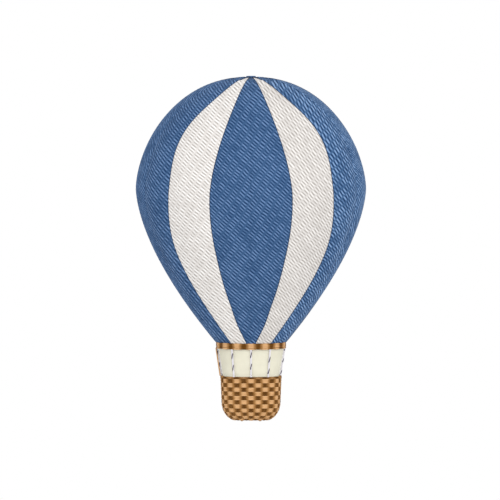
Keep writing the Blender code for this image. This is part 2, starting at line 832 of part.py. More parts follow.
def fuel_cylinders():
    """Four upright cylinders with a foot ring, domed ends, a guard collar and a valve stub."""
    low = FLOOR_TOP + TOUCH
    high = low + CYLINDER_HEIGHT
    radius = CYLINDER_RADIUS
    for name, x, y in (
        ("fuel_cylinder_front_left", -1, -1),
        ("fuel_cylinder_front_right", 1, -1),
        ("fuel_cylinder_back_left", -1, 1),
        ("fuel_cylinder_back_right", 1, 1),
    ):
        profile = [
            (0.0, high - STUB_DROP),
            (STUB_RADIUS, high - STUB_DROP),
            (STUB_RADIUS, high - 0.075),
            (COLLAR_RADIUS - COLLAR_WALL, high - 0.09),
            (COLLAR_RADIUS - COLLAR_WALL, high),
            (COLLAR_RADIUS, high),
            (COLLAR_RADIUS, high - 0.095),
            (radius - 0.02, high - 0.11),
            (radius, high - 0.15),
            (radius, low + 0.09),
            (radius - 0.02, low + 0.05),
            (radius - 0.02, low),
            (0.0, low),
        ]
        piece = baked(cup(name, profile, "alloy", 28))
        piece.data.transform(Matrix.Translation((x * CYLINDER_X, y * CYLINDER_Y, 0)))


def build():
    heights = gores()
    load_tapes(heights)
    crown_ring()
    parachute_valve()
    mouth_hoop()
    ropes()
    scoop()
    basket_wall()
    basket_rim()
    floor_deck()
    bearers()
    runners()
    uprights()
    burner_frame()
    gimbal_ring()
    burner_cans(burner_base())
    fuel_cylinders()


build()
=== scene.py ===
# %% [markdown]
# # Dressing a hot air balloon
# The solids of the balloon come in as a fixed frame: sixteen gores, a hoop, ropes, a scoop, a basket and
# a burner. This lesson gives each of them its finish, or replaces it by a finer mesh in the same place.
# The balloon is worked like a piece of needlework: its cloth is laid in thick slanting threads, and its
# hoop and basket are one bold chequer of cane. Everything is in metres, with +Z up and the front at -Y.

# %% The frame
from math import ceil, cos, floor, pi, radians, sin, sqrt, tan

import bmesh
import bpy
import numpy as np
from mathutils import Matrix, Vector


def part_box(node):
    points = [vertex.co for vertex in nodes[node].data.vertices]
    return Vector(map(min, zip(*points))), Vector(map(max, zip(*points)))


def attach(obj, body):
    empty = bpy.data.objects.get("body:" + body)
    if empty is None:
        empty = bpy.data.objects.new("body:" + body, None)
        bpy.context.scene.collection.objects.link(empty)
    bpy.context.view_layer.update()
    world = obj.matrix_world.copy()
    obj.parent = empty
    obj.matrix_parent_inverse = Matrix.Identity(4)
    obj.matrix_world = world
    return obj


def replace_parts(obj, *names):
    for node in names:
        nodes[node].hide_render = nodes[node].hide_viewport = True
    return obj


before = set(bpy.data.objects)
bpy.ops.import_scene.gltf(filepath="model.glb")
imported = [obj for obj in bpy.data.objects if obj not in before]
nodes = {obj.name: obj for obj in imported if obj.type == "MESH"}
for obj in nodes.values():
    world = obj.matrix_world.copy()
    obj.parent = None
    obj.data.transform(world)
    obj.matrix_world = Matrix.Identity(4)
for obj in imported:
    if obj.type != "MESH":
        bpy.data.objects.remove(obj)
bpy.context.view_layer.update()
print("nodes in the frame:", len(nodes))

# %% [markdown]
# ## Camera and light
# The picture has no perspective, so a very long lens stands far back. It looks down by very little: hoop
# and rim are curved like rings that are seen from just above them. A pure white sky lights the cloth evenly
# from all sides, which keeps the colours flat as on a drawing. One soft sun from the upper right adds just
# enough shade to show the relief of the threads and the cane. The balloon flies, so the floor lies some way
# below it, and it is pale enough to throw light up at the cloth that faces down.

# %% Camera
VIEW_MIDDLE = (-0.04, 0.0, -2.433)
VIEW_WIDTH = 19.62
VIEW_DISTANCE = 400.0
LOOK_DOWN = radians(2.5)
SENSOR = 36.0
FARTHEST = 2000.0

lens = bpy.data.cameras.new("camera")
lens.sensor_width = SENSOR
lens.lens = SENSOR * VIEW_DISTANCE / VIEW_WIDTH
lens.clip_end = FARTHEST
camera = bpy.data.objects.new("camera", lens)
camera.location = Vector(VIEW_MIDDLE) + VIEW_DISTANCE * Vector((0, -cos(LOOK_DOWN), sin(LOOK_DOWN)))
camera.rotation_euler = (radians(90) - LOOK_DOWN, 0, 0)
bpy.context.scene.collection.objects.link(camera)
bpy.context.scene.camera = camera
print("lens in mm:", round(lens.lens, 1))

# %% Sky, sun and floor
SKY_STRENGTH = 1.0
SUN_STRENGTH = 1.1
SUN_WIDTH = radians(12)
SUN_TURN = (radians(66), 0, radians(12))
FLOOR_HEIGHT = -16.0
FLOOR_RADIUS = 30.0
FLOOR_COLOR = (0.93, 0.93, 0.93, 1.0)
FLOOR_ROUGHNESS = 0.9

world = bpy.data.worlds.new("white_sky")
world.use_nodes = True
world.node_tree.nodes["Background"].inputs["Color"].default_value = (1, 1, 1, 1)
world.node_tree.nodes["Background"].inputs["Strength"].default_value = SKY_STRENGTH
bpy.context.scene.world = world
bpy.context.scene.view_settings.view_transform = "Standard"

sun = bpy.data.objects.new("sun", bpy.data.lights.new("sun", "SUN"))
sun.data.energy = SUN_STRENGTH
sun.data.angle = SUN_WIDTH
sun.rotation_euler = SUN_TURN
bpy.context.scene.collection.objects.link(sun)

bm = bmesh.new()
bmesh.ops.create_circle(
    bm, cap_ends=True, segments=96, radius=FLOOR_RADIUS, matrix=Matrix.Translation((0, 0, FLOOR_HEIGHT))
)
floor_mesh = bpy.data.meshes.new("floor")
bm.to_mesh(floor_mesh)
bm.free()
ground = bpy.data.objects.new("floor", floor_mesh)
bpy.context.scene.collection.objects.link(ground)
white_floor = bpy.data.materials.new("white_floor")
white_floor.use_nodes = True
floor_shader = white_floor.node_tree.nodes["Principled BSDF"]
floor_shader.inputs["Base Color"].default_value = FLOOR_COLOR
floor_shader.inputs["Roughness"].default_value = FLOOR_ROUGHNESS
floor_mesh.materials.append(white_floor)
print("the floor's height in m:", FLOOR_HEIGHT)

# %% [markdown]
# ## Writing sums as nodes
# Materials and Geometry Nodes are both graphs of small sums. Wiring them one by one hides the rule that
# they follow, so a `Signal` stands for one number in a graph: adding or multiplying two signals adds the
# Math node that does it. The same class serves both kinds of tree.


# %% A number in a node tree
class Signal:
    """One number socket in a node tree, on which sums are written as in plain Python."""

    def __init__(self, tree, socket):
        self.tree = tree
        self.socket = socket

    def math(self, operation, *others, clamp=False):
        node = self.tree.nodes.new("ShaderNodeMath")
        node.operation = operation
        node.use_clamp = clamp
        for place, value in zip(node.inputs, (self, *others)):
            plug(self.tree, value, place)
        return Signal(self.tree, node.outputs[0])

    def __add__(self, other):
        return self.math("ADD", other)

    def __sub__(self, other):
        return self.math("SUBTRACT", other)

    def __mul__(self, other):
        return self.math("MULTIPLY", other)

    def __truediv__(self, other):
        return self.math("DIVIDE", other)

    def clamped(self):
        return self.math("ADD", 0.0, clamp=True)

    def step(self, low, high):
        """0 below low, 1 above high and smooth between them."""
        node = self.tree.nodes.new("ShaderNodeMapRange")
        node.interpolation_type = "SMOOTHSTEP"
        for place, value in zip(node.inputs, (self, low, high)):
            plug(self.tree, value, place)
        return Signal(self.tree, node.outputs[0])


def plug(tree, value, socket):
    """Links a signal or a node's output to a socket, or sets the socket to a plain value."""
    if isinstance(value, Signal):
        tree.links.new(value.socket, socket)
    elif isinstance(value, bpy.types.NodeSocket):
        tree.links.new(value, socket)
    else:
        socket.default_value = value


# %% A paint pot for the materials
class Paint:
    """A material with one Principled shader, and the few textures that this balloon needs.

    A socket of the shader is set by its name, with each space written as an underscore.
    """

    def __init__(self, name, **sockets):
        self.made = bpy.data.materials.new(name)
        self.made.use_nodes = True
        self.tree = self.made.node_tree
        self.shader = self.tree.nodes["Principled BSDF"]
        self.set(**sockets)

    def set(self, **sockets):
        for key, value in sockets.items():
            plug(self.tree, value, self.shader.inputs[key.replace("_", " ")])

    def place(self, of="Object", scale=(1, 1, 1)):
        """Where a point is: on the object, or on one of its UV maps if that is named."""
        if of == "Object":
            found = self.tree.nodes.new("ShaderNodeTexCoord").outputs["Object"]
        else:
            uv_map = self.tree.nodes.new("ShaderNodeUVMap")
            uv_map.uv_map = of
            found = uv_map.outputs["UV"]
        mapping = self.tree.nodes.new("ShaderNodeMapping")
        mapping.inputs["Scale"].default_value = scale
        self.tree.links.new(found, mapping.inputs["Vector"])
        return mapping.outputs["Vector"]

    def parts(self, vector):
        """A vector's three numbers."""
        node = self.tree.nodes.new("ShaderNodeSeparateXYZ")
        self.tree.links.new(vector, node.inputs[0])
        return [Signal(self.tree, output) for output in node.outputs]

    def noise(self, vector, scale, detail=2.0, roughness=0.5):
        node = self.tree.nodes.new("ShaderNodeTexNoise")
        self.tree.links.new(vector, node.inputs["Vector"])
        node.inputs["Scale"].default_value = scale
        node.inputs["Detail"].default_value = detail
        node.inputs["Roughness"].default_value = roughness
        return Signal(self.tree, node.outputs["Fac"])

    def chance(self, first, second):
        """A number from 0 to 1 drawn for each pair of whole numbers."""
        join = self.tree.nodes.new("ShaderNodeCombineXYZ")
        plug(self.tree, first, join.inputs[0])
        plug(self.tree, second, join.inputs[1])
        node = self.tree.nodes.new("ShaderNodeTexWhiteNoise")
        node.noise_dimensions = "2D"
        self.tree.links.new(join.outputs[0], node.inputs["Vector"])
        return Signal(self.tree, node.outputs["Value"])

    def attribute(self, name):
        node = self.tree.nodes.new("ShaderNodeAttribute")
        node.attribute_name = name
        return Signal(self.tree, node.outputs["Fac"])

    def blend(self, share, first, second):
        """Two colours mixed by a share from 0 to 1."""
        node = self.tree.nodes.new("ShaderNodeMix")
        node.data_type = "RGBA"
        plug(self.tree, share, node.inputs[0])
        for place, value in ((node.inputs[6], first), (node.inputs[7], second)):
            plug(self.tree, (*value, 1.0) if isinstance(value, tuple) else value, place)
        return node.outputs[2]

    def bump(self, height, distance, strength=1.0):
        node = self.tree.nodes.new("ShaderNodeBump")
        node.inputs["Distance"].default_value = distance
        node.inputs["Strength"].default_value = strength
        plug(self.tree, height, node.inputs["Height"])
        self.tree.links.new(node.outputs["Normal"], self.shader.inputs["Normal"])


# %% [markdown]
# ## Threaded cloth
# On the real thing each colour field is filled by long parallel threads, laid in short stitches whose
# ends are sunk in the cloth. The thread's round body is modelled, because it catches the light. The
# stitches are painted: a UV map counts the threads across and the metres along, so the shader can draw
# one tone for each stitch. It also paints shade in the groove between two threads and a highlight on each
# thread's back, which fades to a darker pit where the needle went in.

# %% Cloth finish
THREAD_PITCH = 0.112
STITCH_LENGTH = 0.29
STITCH_LEAN = 0.066
FIBRES = 7.0


def stitched_cloth(name, dark, middle, light, shift=0.0, lean=STITCH_LEAN):
    """Cloth of long threads in short stitches: painted shade between the threads and a painted highlight on
    their backs.

    A shift of half a thread from each band of stitches to the next makes bands without a groove that runs
    on. The lean is the share of a stitch by which each thread lies behind its neighbour.
    """
    paint = Paint(name, Roughness=0.65, Specular_IOR_Level=0.06)
    along, count, _ = paint.parts(paint.place("Thread"))
    drift = paint.noise(paint.place(), 0.5, detail=1.0)
    wobble = paint.noise(paint.place(), 3.0, detail=1.0)
    jitter = paint.chance((count * 2.0).math("FLOOR"), 5.0)
    run = along / STITCH_LENGTH - count * lean + drift * 0.8 + jitter * 0.22
    count = count + run.math("FLOOR") * shift + (wobble - 0.5) * 0.6
    chance = paint.chance(count.math("FLOOR"), run.math("FLOOR"))
    across = (count.math("FRACT") - 0.5).math("ABSOLUTE") * -2.0 + 1.0
    end = (run.math("FRACT") - 0.5).math("ABSOLUTE") * 2.0
    plump = end.step(1.0, 0.35) * 0.8 + 0.2
    # The relief is bumped and also painted: shade in the grooves and a highlight on the thread's back,
    # dimmed at the stitch ends.
    relief = (across.step(0.08, 0.92) - 0.5) * plump * (chance * 0.7 + 0.6)
    fibre = (count * (2 * pi * FIBRES) + run * 9.0).math("SINE") * 0.5
    cloud = paint.noise(paint.place(), 0.9, detail=3.0)
    # The tone is the relief's painted light and shade, with a random tone for each stitch, slow cloudy
    # changes and fine fibres.
    tone = relief + (chance - 0.5) * 0.16 + (cloud - 0.5) * 0.30 + fibre * 0.09 + 0.5
    low = paint.blend(tone.step(0.02, 0.5), dark, middle)
    paint.set(Base_Color=paint.blend(tone.step(0.5, 1.0), low, light))
    paint.bump(relief + fibre * 0.12, 0.008, 0.6)
    return paint.made


# Each cloth's dark colour is painted shade in its grooves, and its light colour is a painted highlight on
# its threads.
BLUE = (0.0102, 0.0375, 0.109), (0.0395, 0.094, 0.205), (0.127, 0.220, 0.402)
BAND_BLUE = (0.0090, 0.0345, 0.100), (0.046, 0.108, 0.232), (0.200, 0.328, 0.550)
WHITE = (0.42, 0.395, 0.37), (0.675, 0.645, 0.620), (0.86, 0.845, 0.83)
BAND_WHITE = (0.37, 0.345, 0.32), (0.600, 0.573, 0.550), (0.79, 0.765, 0.74)
# The banded white is painted a little darker and the banded blue's highlight brighter: painted shade and
# light for the way their threads lie.
blue_cloth = stitched_cloth("blue_cloth", *BLUE)
white_cloth = stitched_cloth("white_cloth", *WHITE)
blue_bands = stitched_cloth("blue_bands", *BAND_BLUE, shift=0.5, lean=0.0)
white_bands = stitched_cloth("white_bands", *BAND_WHITE, shift=0.5, lean=0.0)
print("nodes in a cloth's paint:", len(blue_cloth.node_tree.nodes))

# %% [markdown]
# ## The envelope's outline
# The gores have to lie where the solids lie, so the same few sizes give the same outline here. Above the
# equator it is a flattened dome, and below it a cone that curves in to the mouth. Distances along the
# cloth, from the vent's edge down, are what a sailmaker would mark, so everything is set out by them.

# %% The outline
EQUATOR_RADIUS = 4.55
CROWN_HEIGHT = 4.356
CROWN_FULLNESS = 1.7
CROWN_ROUNDNESS = 0.455
MOUTH_RADIUS = 1.378
MOUTH_DROP = 6.04
CONE_POWER = 1.605


def envelope_radius(height):
    share = np.clip(np.asarray(height, float) / CROWN_HEIGHT, 0, 1)
    dome = EQUATOR_RADIUS * (1 - share**CROWN_FULLNESS) ** CROWN_ROUNDNESS
    down = np.clip(-np.asarray(height, float) / MOUTH_DROP, 0, 1)
    cone = EQUATOR_RADIUS - (EQUATOR_RADIUS - MOUTH_RADIUS) * down**CONE_POWER
    return np.where(down > 0, cone, dome)


def crown_height(radius):
    """The height of the dome where the outline has this radius."""
    reach = (np.asarray(radius, float) / EQUATOR_RADIUS) ** (1 / CROWN_ROUNDNESS)
    return CROWN_HEIGHT * (1 - reach) ** (1 / CROWN_FULLNESS)


print("the envelope is", 2 * EQUATOR_RADIUS, "m wide")

# %% Colour borders and seams
BORDER_HEIGHTS = (4.356, 4.08, 2.67, 0.0, -2.5, -4.4, -5.57, -6.04)
INNER_BORDER = (8.5, 9.8, 15.0, 20.8, 21.2, 18.3, 13.0, 7.2)
OUTER_BORDER = (25.5, 27.6, 42.0, 45.8, 50.5, 45.8, 39.0, 35.0)


def border(height, angles):
    """A colour border's angle at a height, on a smooth curve through its few set points."""
    places, values = np.array(BORDER_HEIGHTS[::-1]), np.array(angles[::-1])
    slopes = np.gradient(values, places)
    i = np.clip(np.searchsorted(places, height) - 1, 0, len(places) - 2)
    span = places[i + 1] - places[i]
    t = (height - places[i]) / span
    low = values[i] * (1 + 2 * t) * (1 - t) ** 2 + slopes[i] * span * t * (1 - t) ** 2
    return low + values[i + 1] * t * t * (3 - 2 * t) - slopes[i + 1] * span * t * t * (1 - t)


def seam_angle(height, seam):
    """The angle from the front of each seam of a quarter: 0 in the middle, 4 at the side."""
    inner, outer = border(height, INNER_BORDER), border(height, OUTER_BORDER)
    return (0 * inner, inner, outer, (outer + 90) / 2, 0 * inner + 90)[seam]


# %% Runs along the cloth, and its scallops
OUTLINE_STEPS = 400
VENT_RADIUS = 1.05
SCALLOP = 0.017
FALL_REACH = 0.05
dome_heights = CROWN_HEIGHT * np.cos(np.linspace(0, pi / 2, OUTLINE_STEPS))
outline_heights = np.concatenate([dome_heights, np.linspace(0, -MOUTH_DROP, OUTLINE_STEPS)[1:]])
outline_radii = envelope_radius(outline_heights)
outline_run = np.concatenate([[0], np.cumsum(np.hypot(np.diff(outline_radii), np.diff(outline_heights)))])


def run_at(radius):
    """The run along the crown's cloth where the outline has this radius."""
    return float(np.interp(radius, outline_radii[:OUTLINE_STEPS], outline_run[:OUTLINE_STEPS]))


outline_run -= run_at(VENT_RADIUS)
GORE_LENGTH = float(outline_run[-1])


def height_along(run):
    """The height after a run along the cloth, counted down from the vent's edge."""
    return np.interp(run, outline_run, outline_heights)


def skin(run, angle, cross, lift=0.0):
    """Points on the cloth. Lift is how far they stand off it, and cross goes from 0 to 1 over a gore.

    The cloth sinks towards its seams, most of all halfway down, which scallops the envelope.
    """
    height = height_along(run)
    share = np.clip(run / GORE_LENGTH, 0, 1)
    sink = SCALLOP * 4 * share * (1 - share) * (1 - 4 * cross * (1 - cross))
    ahead, behind = height_along(run + FALL_REACH), height_along(run - FALL_REACH)
    fall = np.arctan2(behind - ahead, envelope_radius(ahead) - envelope_radius(behind))
    radius = envelope_radius(height) * (1 - sink) + lift * np.sin(fall)
    turn = np.radians(angle)
    return np.stack([radius * np.sin(turn), -radius * np.cos(turn), height + lift * np.cos(fall)], axis=-1)


print("a gore is", round(GORE_LENGTH, 2), "m long")

# %% [markdown]
# ## Sixteen gores
# A gore is a leaf of cloth from the vent to the mouth. Its mesh is laid along the threads, not along the
# gore: every fourth row is the hollow between two threads and the rows between them rise to the thread's
# back. That takes far fewer faces than a square net fine enough for a slanting thread. Seen from the
# front the threads are straight lines with one slope for each field. The last gore of each quarter is seen
# from the side, so its threads are wrapped round the cloth instead, at one angle to it. Near the crown a
# line can leave a gore on the side where it came in, so each net is made in up to three parts that meet
# where it turns. On the right, from the white gore outwards, the stitches lie in bands and no thread runs
# on, so there the net is a plain one and the paint alone shows the bands.


# %% From a skin to a piece
def link(name, mesh):
    made = bpy.data.objects.new(name, mesh)
    bpy.context.scene.collection.objects.link(made)
    return made


def applied(piece):
    """Turns a piece with modifiers into a plain mesh."""
    bpy.context.view_layer.update()
    found = piece.evaluated_get(bpy.context.evaluated_depsgraph_get())
    mesh = bpy.data.meshes.new_from_object(found)
    piece.modifiers.clear()
    piece.data = mesh
    return piece


def to_piece(name, bm, paint, body, slot, smooth=True, sharp=180):
    """Makes a mesh a finished piece: its paint and the body it rides on. The slot is not used."""
    mesh = bpy.data.meshes.new(name)
    bm.to_mesh(mesh)
    bm.free()
    if smooth:
        mesh.shade_smooth()
        mesh.set_sharp_from_angle(angle=radians(sharp))
    mesh.materials.append(paint)
    piece = link(name, mesh)
    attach(piece, body)
    return piece


def walled(piece, thickness, side=-1):
    """Gives an open skin a thin wall, which grows inwards for side -1."""
    wall = piece.modifiers.new("wall", "SOLIDIFY")
    wall.thickness = thickness
    wall.offset = side
    return applied(piece)


def net(bm, points, around=False, closed=False, skip=None):
    """Faces over a grid of points; around joins each row's ends, and closed joins last row to first."""
    grid = [[bm.verts.new(point) for point in row] for row in points]
    rows, columns = len(grid), len(grid[0])
    for i in range(rows if closed else rows - 1):
        for j in range(columns if around else columns - 1):
            if not (skip and skip(i, j)):
                below, beside = grid[(i + 1) % rows], (j + 1) % columns
                bm.faces.new((grid[i][j], below[j], below[beside], grid[i][beside]))
    return grid


# %% Round shapes, and what is done to a skin
def on_circle(radius, turn, height, middle=(0, 0)):
    """A point on a level circle, turned from the front."""
    return middle[0] + radius * sin(turn), middle[1] - radius * cos(turn), height


def revolved(bm, profile, turns, middle=(0, 0), **how):
    """Faces over a profile of radii and heights that goes round an upright axis."""
    rows = [[on_circle(radius, turn, height, middle) for turn in turns] for radius, height in profile]
    return net(bm, rows, around=True, **how)


def lay_uv(bm, name, place_of):
    """A UV map that gives each corner of a face the place of its vertex on the cloth."""
    layer = bm.loops.layers.uv.new(name)
    for face in bm.faces:
        for loop in face.loops:
            loop[layer].uv = place_of[loop.vert]


def face_up(bm):
    """Turns the faces of an open, nearly level skin so that they all look up."""
    bmesh.ops.recalc_face_normals(bm, faces=bm.faces)
    if sum(face.normal.z for face in bm.faces) < 0:
        bmesh.ops.reverse_faces(bm, faces=bm.faces)


def joined(parts):
    """Several meshes in the making as one."""
    whole = parts[0]
    for part in parts[1:]:
        spare = bpy.data.meshes.new("spare")
        part.to_mesh(spare)
        part.free()
        whole.from_mesh(spare)
        bpy.data.meshes.remove(spare)
    return whole


# %% Laying the threads
THREAD_RISE = 0.011
CLOTH_THICKNESS = 0.004
WELD = 0.0002
COLUMNS = np.array([0, 0.022, 0.08, 0.17, 0.28, 0.42, 0.58, 0.72, 0.83, 0.92, 0.978, 1])
EDGE_SINK = 0.035
TURNED_AWAY = 0.62
CLOTH_RUNS = np.linspace(0, GORE_LENGTH, 500)
BAND_RUNS = np.linspace(0, GORE_LENGTH, 200)


def reach_across(angle):
    """How far across the front an angle lies, for a radius of 1.

    It goes on evenly where the cloth turns away.
    """
    turn = np.radians(angle)
    last = np.arccos(TURNED_AWAY)
    return np.where(turn < last, np.sin(turn), np.sin(last) + TURNED_AWAY * (turn - last))


def thread_level(run, angle, side, slope, wrapped):
    """A height that stays the same along a thread, laid as the front sees it or wrapped on the cloth."""
    height = height_along(run)
    lean = side * tan(radians(slope)) * envelope_radius(height)
    if wrapped:
        return lean * np.radians(angle - 90) - run
    return lean * reach_across(angle) + height


def thread_rows(angle_at, side, slope, pitch, runs, rows_each, wrapped):
    """Yields nets: each corner's run along the cloth, its count of threads, and its sign where it lies past.

    With no rows for each thread, the net is a plain one that takes no heed of the threads.
    """
    level = thread_level(runs[:, None], angle_at(height_along(runs)[:, None]), side, slope, wrapped)
    step = pitch / cos(radians(slope))
    if not rows_each:
        yield np.broadcast_to(runs[:, None], level.shape), -level / step, 0 * level
        return
    rows = np.arange(floor(level.min() / step * rows_each), ceil(level.max() / step * rows_each) + 1)
    rows = rows * step / rows_each
    highest, lowest = level.argmax(axis=0), level.argmin(axis=0)
    ends = [0 * highest, highest, np.maximum(highest, lowest), 0 * highest + len(runs) - 1]
    for part, (first, last) in enumerate(zip(ends, ends[1:])):
        way = -1 if part == 1 else 1
        laid = rows[::way]
        run, kept = np.zeros((2, len(laid), len(first)))
        for j, (low, high) in enumerate(zip(first, last)):
            stretch = level[low : high + 1, j]
            run[:, j] = np.interp(way * laid, way * stretch, runs[low : high + 1])
            kept[:, j] = np.clip(laid, stretch.min(), stretch.max())
        if np.ptp(run) > 0:
            yield run, -kept / step, np.sign(laid[:, None] - kept)


# %% A skin of threads
def threaded_skin(
    angle_at, cross, lift_at, quarter, slope, pitch=THREAD_PITCH, runs=CLOTH_RUNS, rows_each=4, wrapped=False
):
    """A skin whose net is laid along its threads. A quarter at the back mirrors the one at the front."""
    side = -1 if quarter.endswith("left") else 1
    lean = radians(slope)
    bm = bmesh.new()
    stamp = {}
    for run, count, past in thread_rows(angle_at, side, slope, pitch, runs, rows_each, wrapped):
        height = height_along(run)
        angle = angle_at(height)
        lift = lift_at(run, height, np.abs(np.sin(pi * count)))
        points = skin(run, angle, np.broadcast_to(cross, run.shape), lift)
        points[..., 0] *= side
        if quarter.startswith("back"):
            points[..., 1] *= -1
        grid = net(bm, points, skip=lambda i, j: abs(past[i : i + 2, j : j + 2].sum()) == 4)
        down = run if wrapped else -height
        along = side * cos(lean) * envelope_radius(height) * np.radians(angle) + sin(lean) * down
        for i, row in enumerate(grid):
            stamp |= {vertex: (along[i, j], count[i, j]) for j, vertex in enumerate(row)}
    lay_uv(bm, "Thread", stamp)
    if (side < 0) != quarter.startswith("back"):
        bmesh.ops.reverse_faces(bm, faces=bm.faces)
    bmesh.ops.delete(bm, geom=[v for v in bm.verts if not v.link_faces], context="VERTS")
    bmesh.ops.remove_doubles(bm, verts=bm.verts, dist=WELD)
    return bm


# %% One gore
def gore(quarter, number, slope, banded, cloth, slot):
    """One gore, whose threads sink into the cloth along its seams and its two ends."""
    def angle_at(height):
        return seam_angle(height, number - 1) * (1 - COLUMNS) + seam_angle(height, number) * COLUMNS

    def width_at(height):
        between = seam_angle(height, number) - seam_angle(height, number - 1)
        return envelope_radius(height) * np.radians(between)

    def lift_at(run, height, relief):
        from_seam = np.minimum(COLUMNS, 1 - COLUMNS) * width_at(height)
        from_edge = np.minimum(np.minimum(run, GORE_LENGTH - run), from_seam)
        return (0 if banded else THREAD_RISE) * relief * np.clip(from_edge / EDGE_SINK, 0, 1)

    laid = {"runs": BAND_RUNS, "rows_each": 0} if banded else {}
    bm = threaded_skin(angle_at, COLUMNS, lift_at, quarter, slope, wrapped=number == 4, **laid)
    piece = walled(to_piece(f"cloth_{quarter}_{number}", bm, cloth, "balloon", slot), CLOTH_THICKNESS)
    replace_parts(piece, f"gore_{quarter}_{number}")
    widths = width_at(height_along(CLOTH_RUNS))
    return piece


# %% All the gores
THREAD_SLOPES = {"right": (41, 49.5, 57, 45), "left": (41, 41, 49, 45)}
QUARTERS = [f"{end}_{hand}" for end in ("front", "back") for hand in ("right", "left")]

for quarter in QUARTERS:
    for number, slope in enumerate(THREAD_SLOPES[quarter.split("_")[1]], start=1):
        banded = quarter.endswith("right") and number > 1
        if number == 2:
            cloth, slot = white_bands if banded else white_cloth, "white_cloth"
        else:
            cloth, slot = blue_bands if banded else blue_cloth, "blue_cloth"
        last_gore = gore(quarter, number, slope, banded, cloth, slot)
print("corners in the last gore:", len(last_gore.data.vertices))

# %% [markdown]
# ## Load tapes and the crown
# Flat webs carry the weight of the basket up over the cloth to a ring at the crown. A web over the border
# of two colours is navy, closely whipped across and toothed along its edges, and the one at each side is
# like it with straight edges. These webs are real, but their navy is painted shade: it draws the dark line
# that shade gives along each colour border and along each side's outline. The others lie in a blue field
# and take the field's own threads, so that they hardly show. A web could be a strip of its own kind, but
# laid as a very narrow gore it follows the cloth by itself. The vent has a whipped hem in the gores'
# colours, and the webs end in a whipped ring.

# %% Tapes
# Navy thread colours, painted shade for the dark line along each colour border and side.
NAVY_SHADE = (0.010, 0.022, 0.055), (0.022, 0.050, 0.115), (0.050, 0.095, 0.185)
TAPE_HALF = 0.0275
TAPE_CROWN = 0.0125
TOOTH_LENGTH = 0.19
TAPE_ACROSS = np.array([-1, -0.55, 0, 0.55, 1])
WHIPPING_PITCH = 0.06
HUB_RADIUS = 0.30
TAPE_RUNS = np.linspace(run_at(HUB_RADIUS), GORE_LENGTH - 0.002, 500)
navy_tape = stitched_cloth("navy_tape", *NAVY_SHADE)


def tape(quarter, seam, slope, pitch, rows_each, teeth=0.0):
    """A web over one seam, from the hub at the crown to the hoop. Its teeth take a share of its width."""
    def angle_at(height):
        run = np.interp(-height, -outline_heights, outline_run)
        half = TAPE_HALF * (1 - teeth * abs(run / TOOTH_LENGTH % 1 * 2 - 1))
        return seam_angle(height, seam) + np.degrees(half / envelope_radius(height)) * TAPE_ACROSS

    def lift_at(run, height, relief):
        return (1 - TAPE_ACROSS**2) * (TAPE_CROWN + 0.5 * THREAD_RISE * relief)

    return threaded_skin(angle_at, 0 * TAPE_ACROSS, lift_at, quarter, slope, pitch, TAPE_RUNS, rows_each)


# %% Whipped rings on the crown
WHIPPING_ANGLE = 2.5
WHIPPING_SINK = 0.0022


def whipped_ring(radii, rises, start=0, stop=360):
    """A flat ring or arc of cloth on the crown, whipped across, that rises this far off the cloth."""
    whole = stop - start == 360
    count = round((stop - start) / (2 * WHIPPING_ANGLE)) * 2
    turns = np.radians(np.linspace(start, stop, count + 1))[: -1 if whole else None]
    points = []
    for radius, rise in zip(radii, rises):
        heights = crown_height(radius) + rise - (rise > 0) * WHIPPING_SINK * (np.arange(len(turns)) % 2)
        points.append([on_circle(radius, turn, height) for turn, height in zip(turns, heights)])
    bm = bmesh.new()
    grid = net(bm, points, around=whole)
    stamp = {vertex: (radii[i], j / 2 + 0.5) for i, row in enumerate(grid) for j, vertex in enumerate(row)}
    lay_uv(bm, "Thread", stamp)
    face_up(bm)
    return bm


def fields(height):
    """The stretches of blue and of white round the crown, as pairs of angles from the front."""
    inner, outer = (float(border(height, angles)) for angles in (INNER_BORDER, OUTER_BORDER))
    blue = [(-inner, inner), (outer, 180 - outer), (180 - inner, 180 + inner), (180 + outer, 360 - outer)]
    white = [(inner, outer), (180 - outer, 180 - inner)]
    white += [(180 + inner, 180 + outer), (360 - outer, 360 - inner)]
    return blue, white


# %% Tapes in their finishes, the hub in which they end and the vent's hem
HUB_RADII = (0.318, 0.314, 0.30, 0.24, 0.17, 0.12, 0.11, 0.107)
HUB_RISES = (0.0, 0.006, 0.008, 0.008, 0.0075, 0.008, 0.006, 0.0)
HEM_RADII = (1.102, 1.100, 1.075, 1.054, 1.052)
HEM_RISES = (0.002, 0.0145, 0.016, 0.0115, 0.0)
TAPE_THICKNESS = 0.003
blue_arcs, white_arcs = fields(crown_height(HEM_RADII[2]))
white_hem = joined([whipped_ring(HEM_RADII, HEM_RISES, *arc) for arc in white_arcs])
walled(to_piece("vent_hem_white", white_hem, white_cloth, "balloon", "white_cloth"), TAPE_THICKNESS)
navy, banded = [whipped_ring(HUB_RADII, HUB_RISES)], []
plain = [whipped_ring(HEM_RADII, HEM_RISES, *arc) for arc in blue_arcs]
for quarter in QUARTERS:
    hand = quarter.split("_")[1]
    navy += [tape(quarter, seam, 0, WHIPPING_PITCH, 2, 0.6) for seam in (1, 2)]
    alike, rows_each = (banded, 0) if hand == "right" else (plain, 4)
    alike.append(tape(quarter, 3, THREAD_SLOPES[hand][2], THREAD_PITCH, rows_each))
navy += [tape("front_" + hand, 4, 0, WHIPPING_PITCH, 2) for hand in ("right", "left")]
plain += [tape(end + "_right", 0, THREAD_SLOPES["right"][0], THREAD_PITCH, 4) for end in ("front", "back")]
finishes = ("navy", navy, navy_tape), ("blue", plain, blue_cloth), ("banded", banded, blue_bands)
for name, parts, paint in finishes:
    piece = walled(to_piece("load_tapes_" + name, joined(parts), paint, "balloon", "tape"), TAPE_THICKNESS)
    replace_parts(piece, "load_tapes")
    print(piece.name, "has", len(piece.data.vertices), "corners")

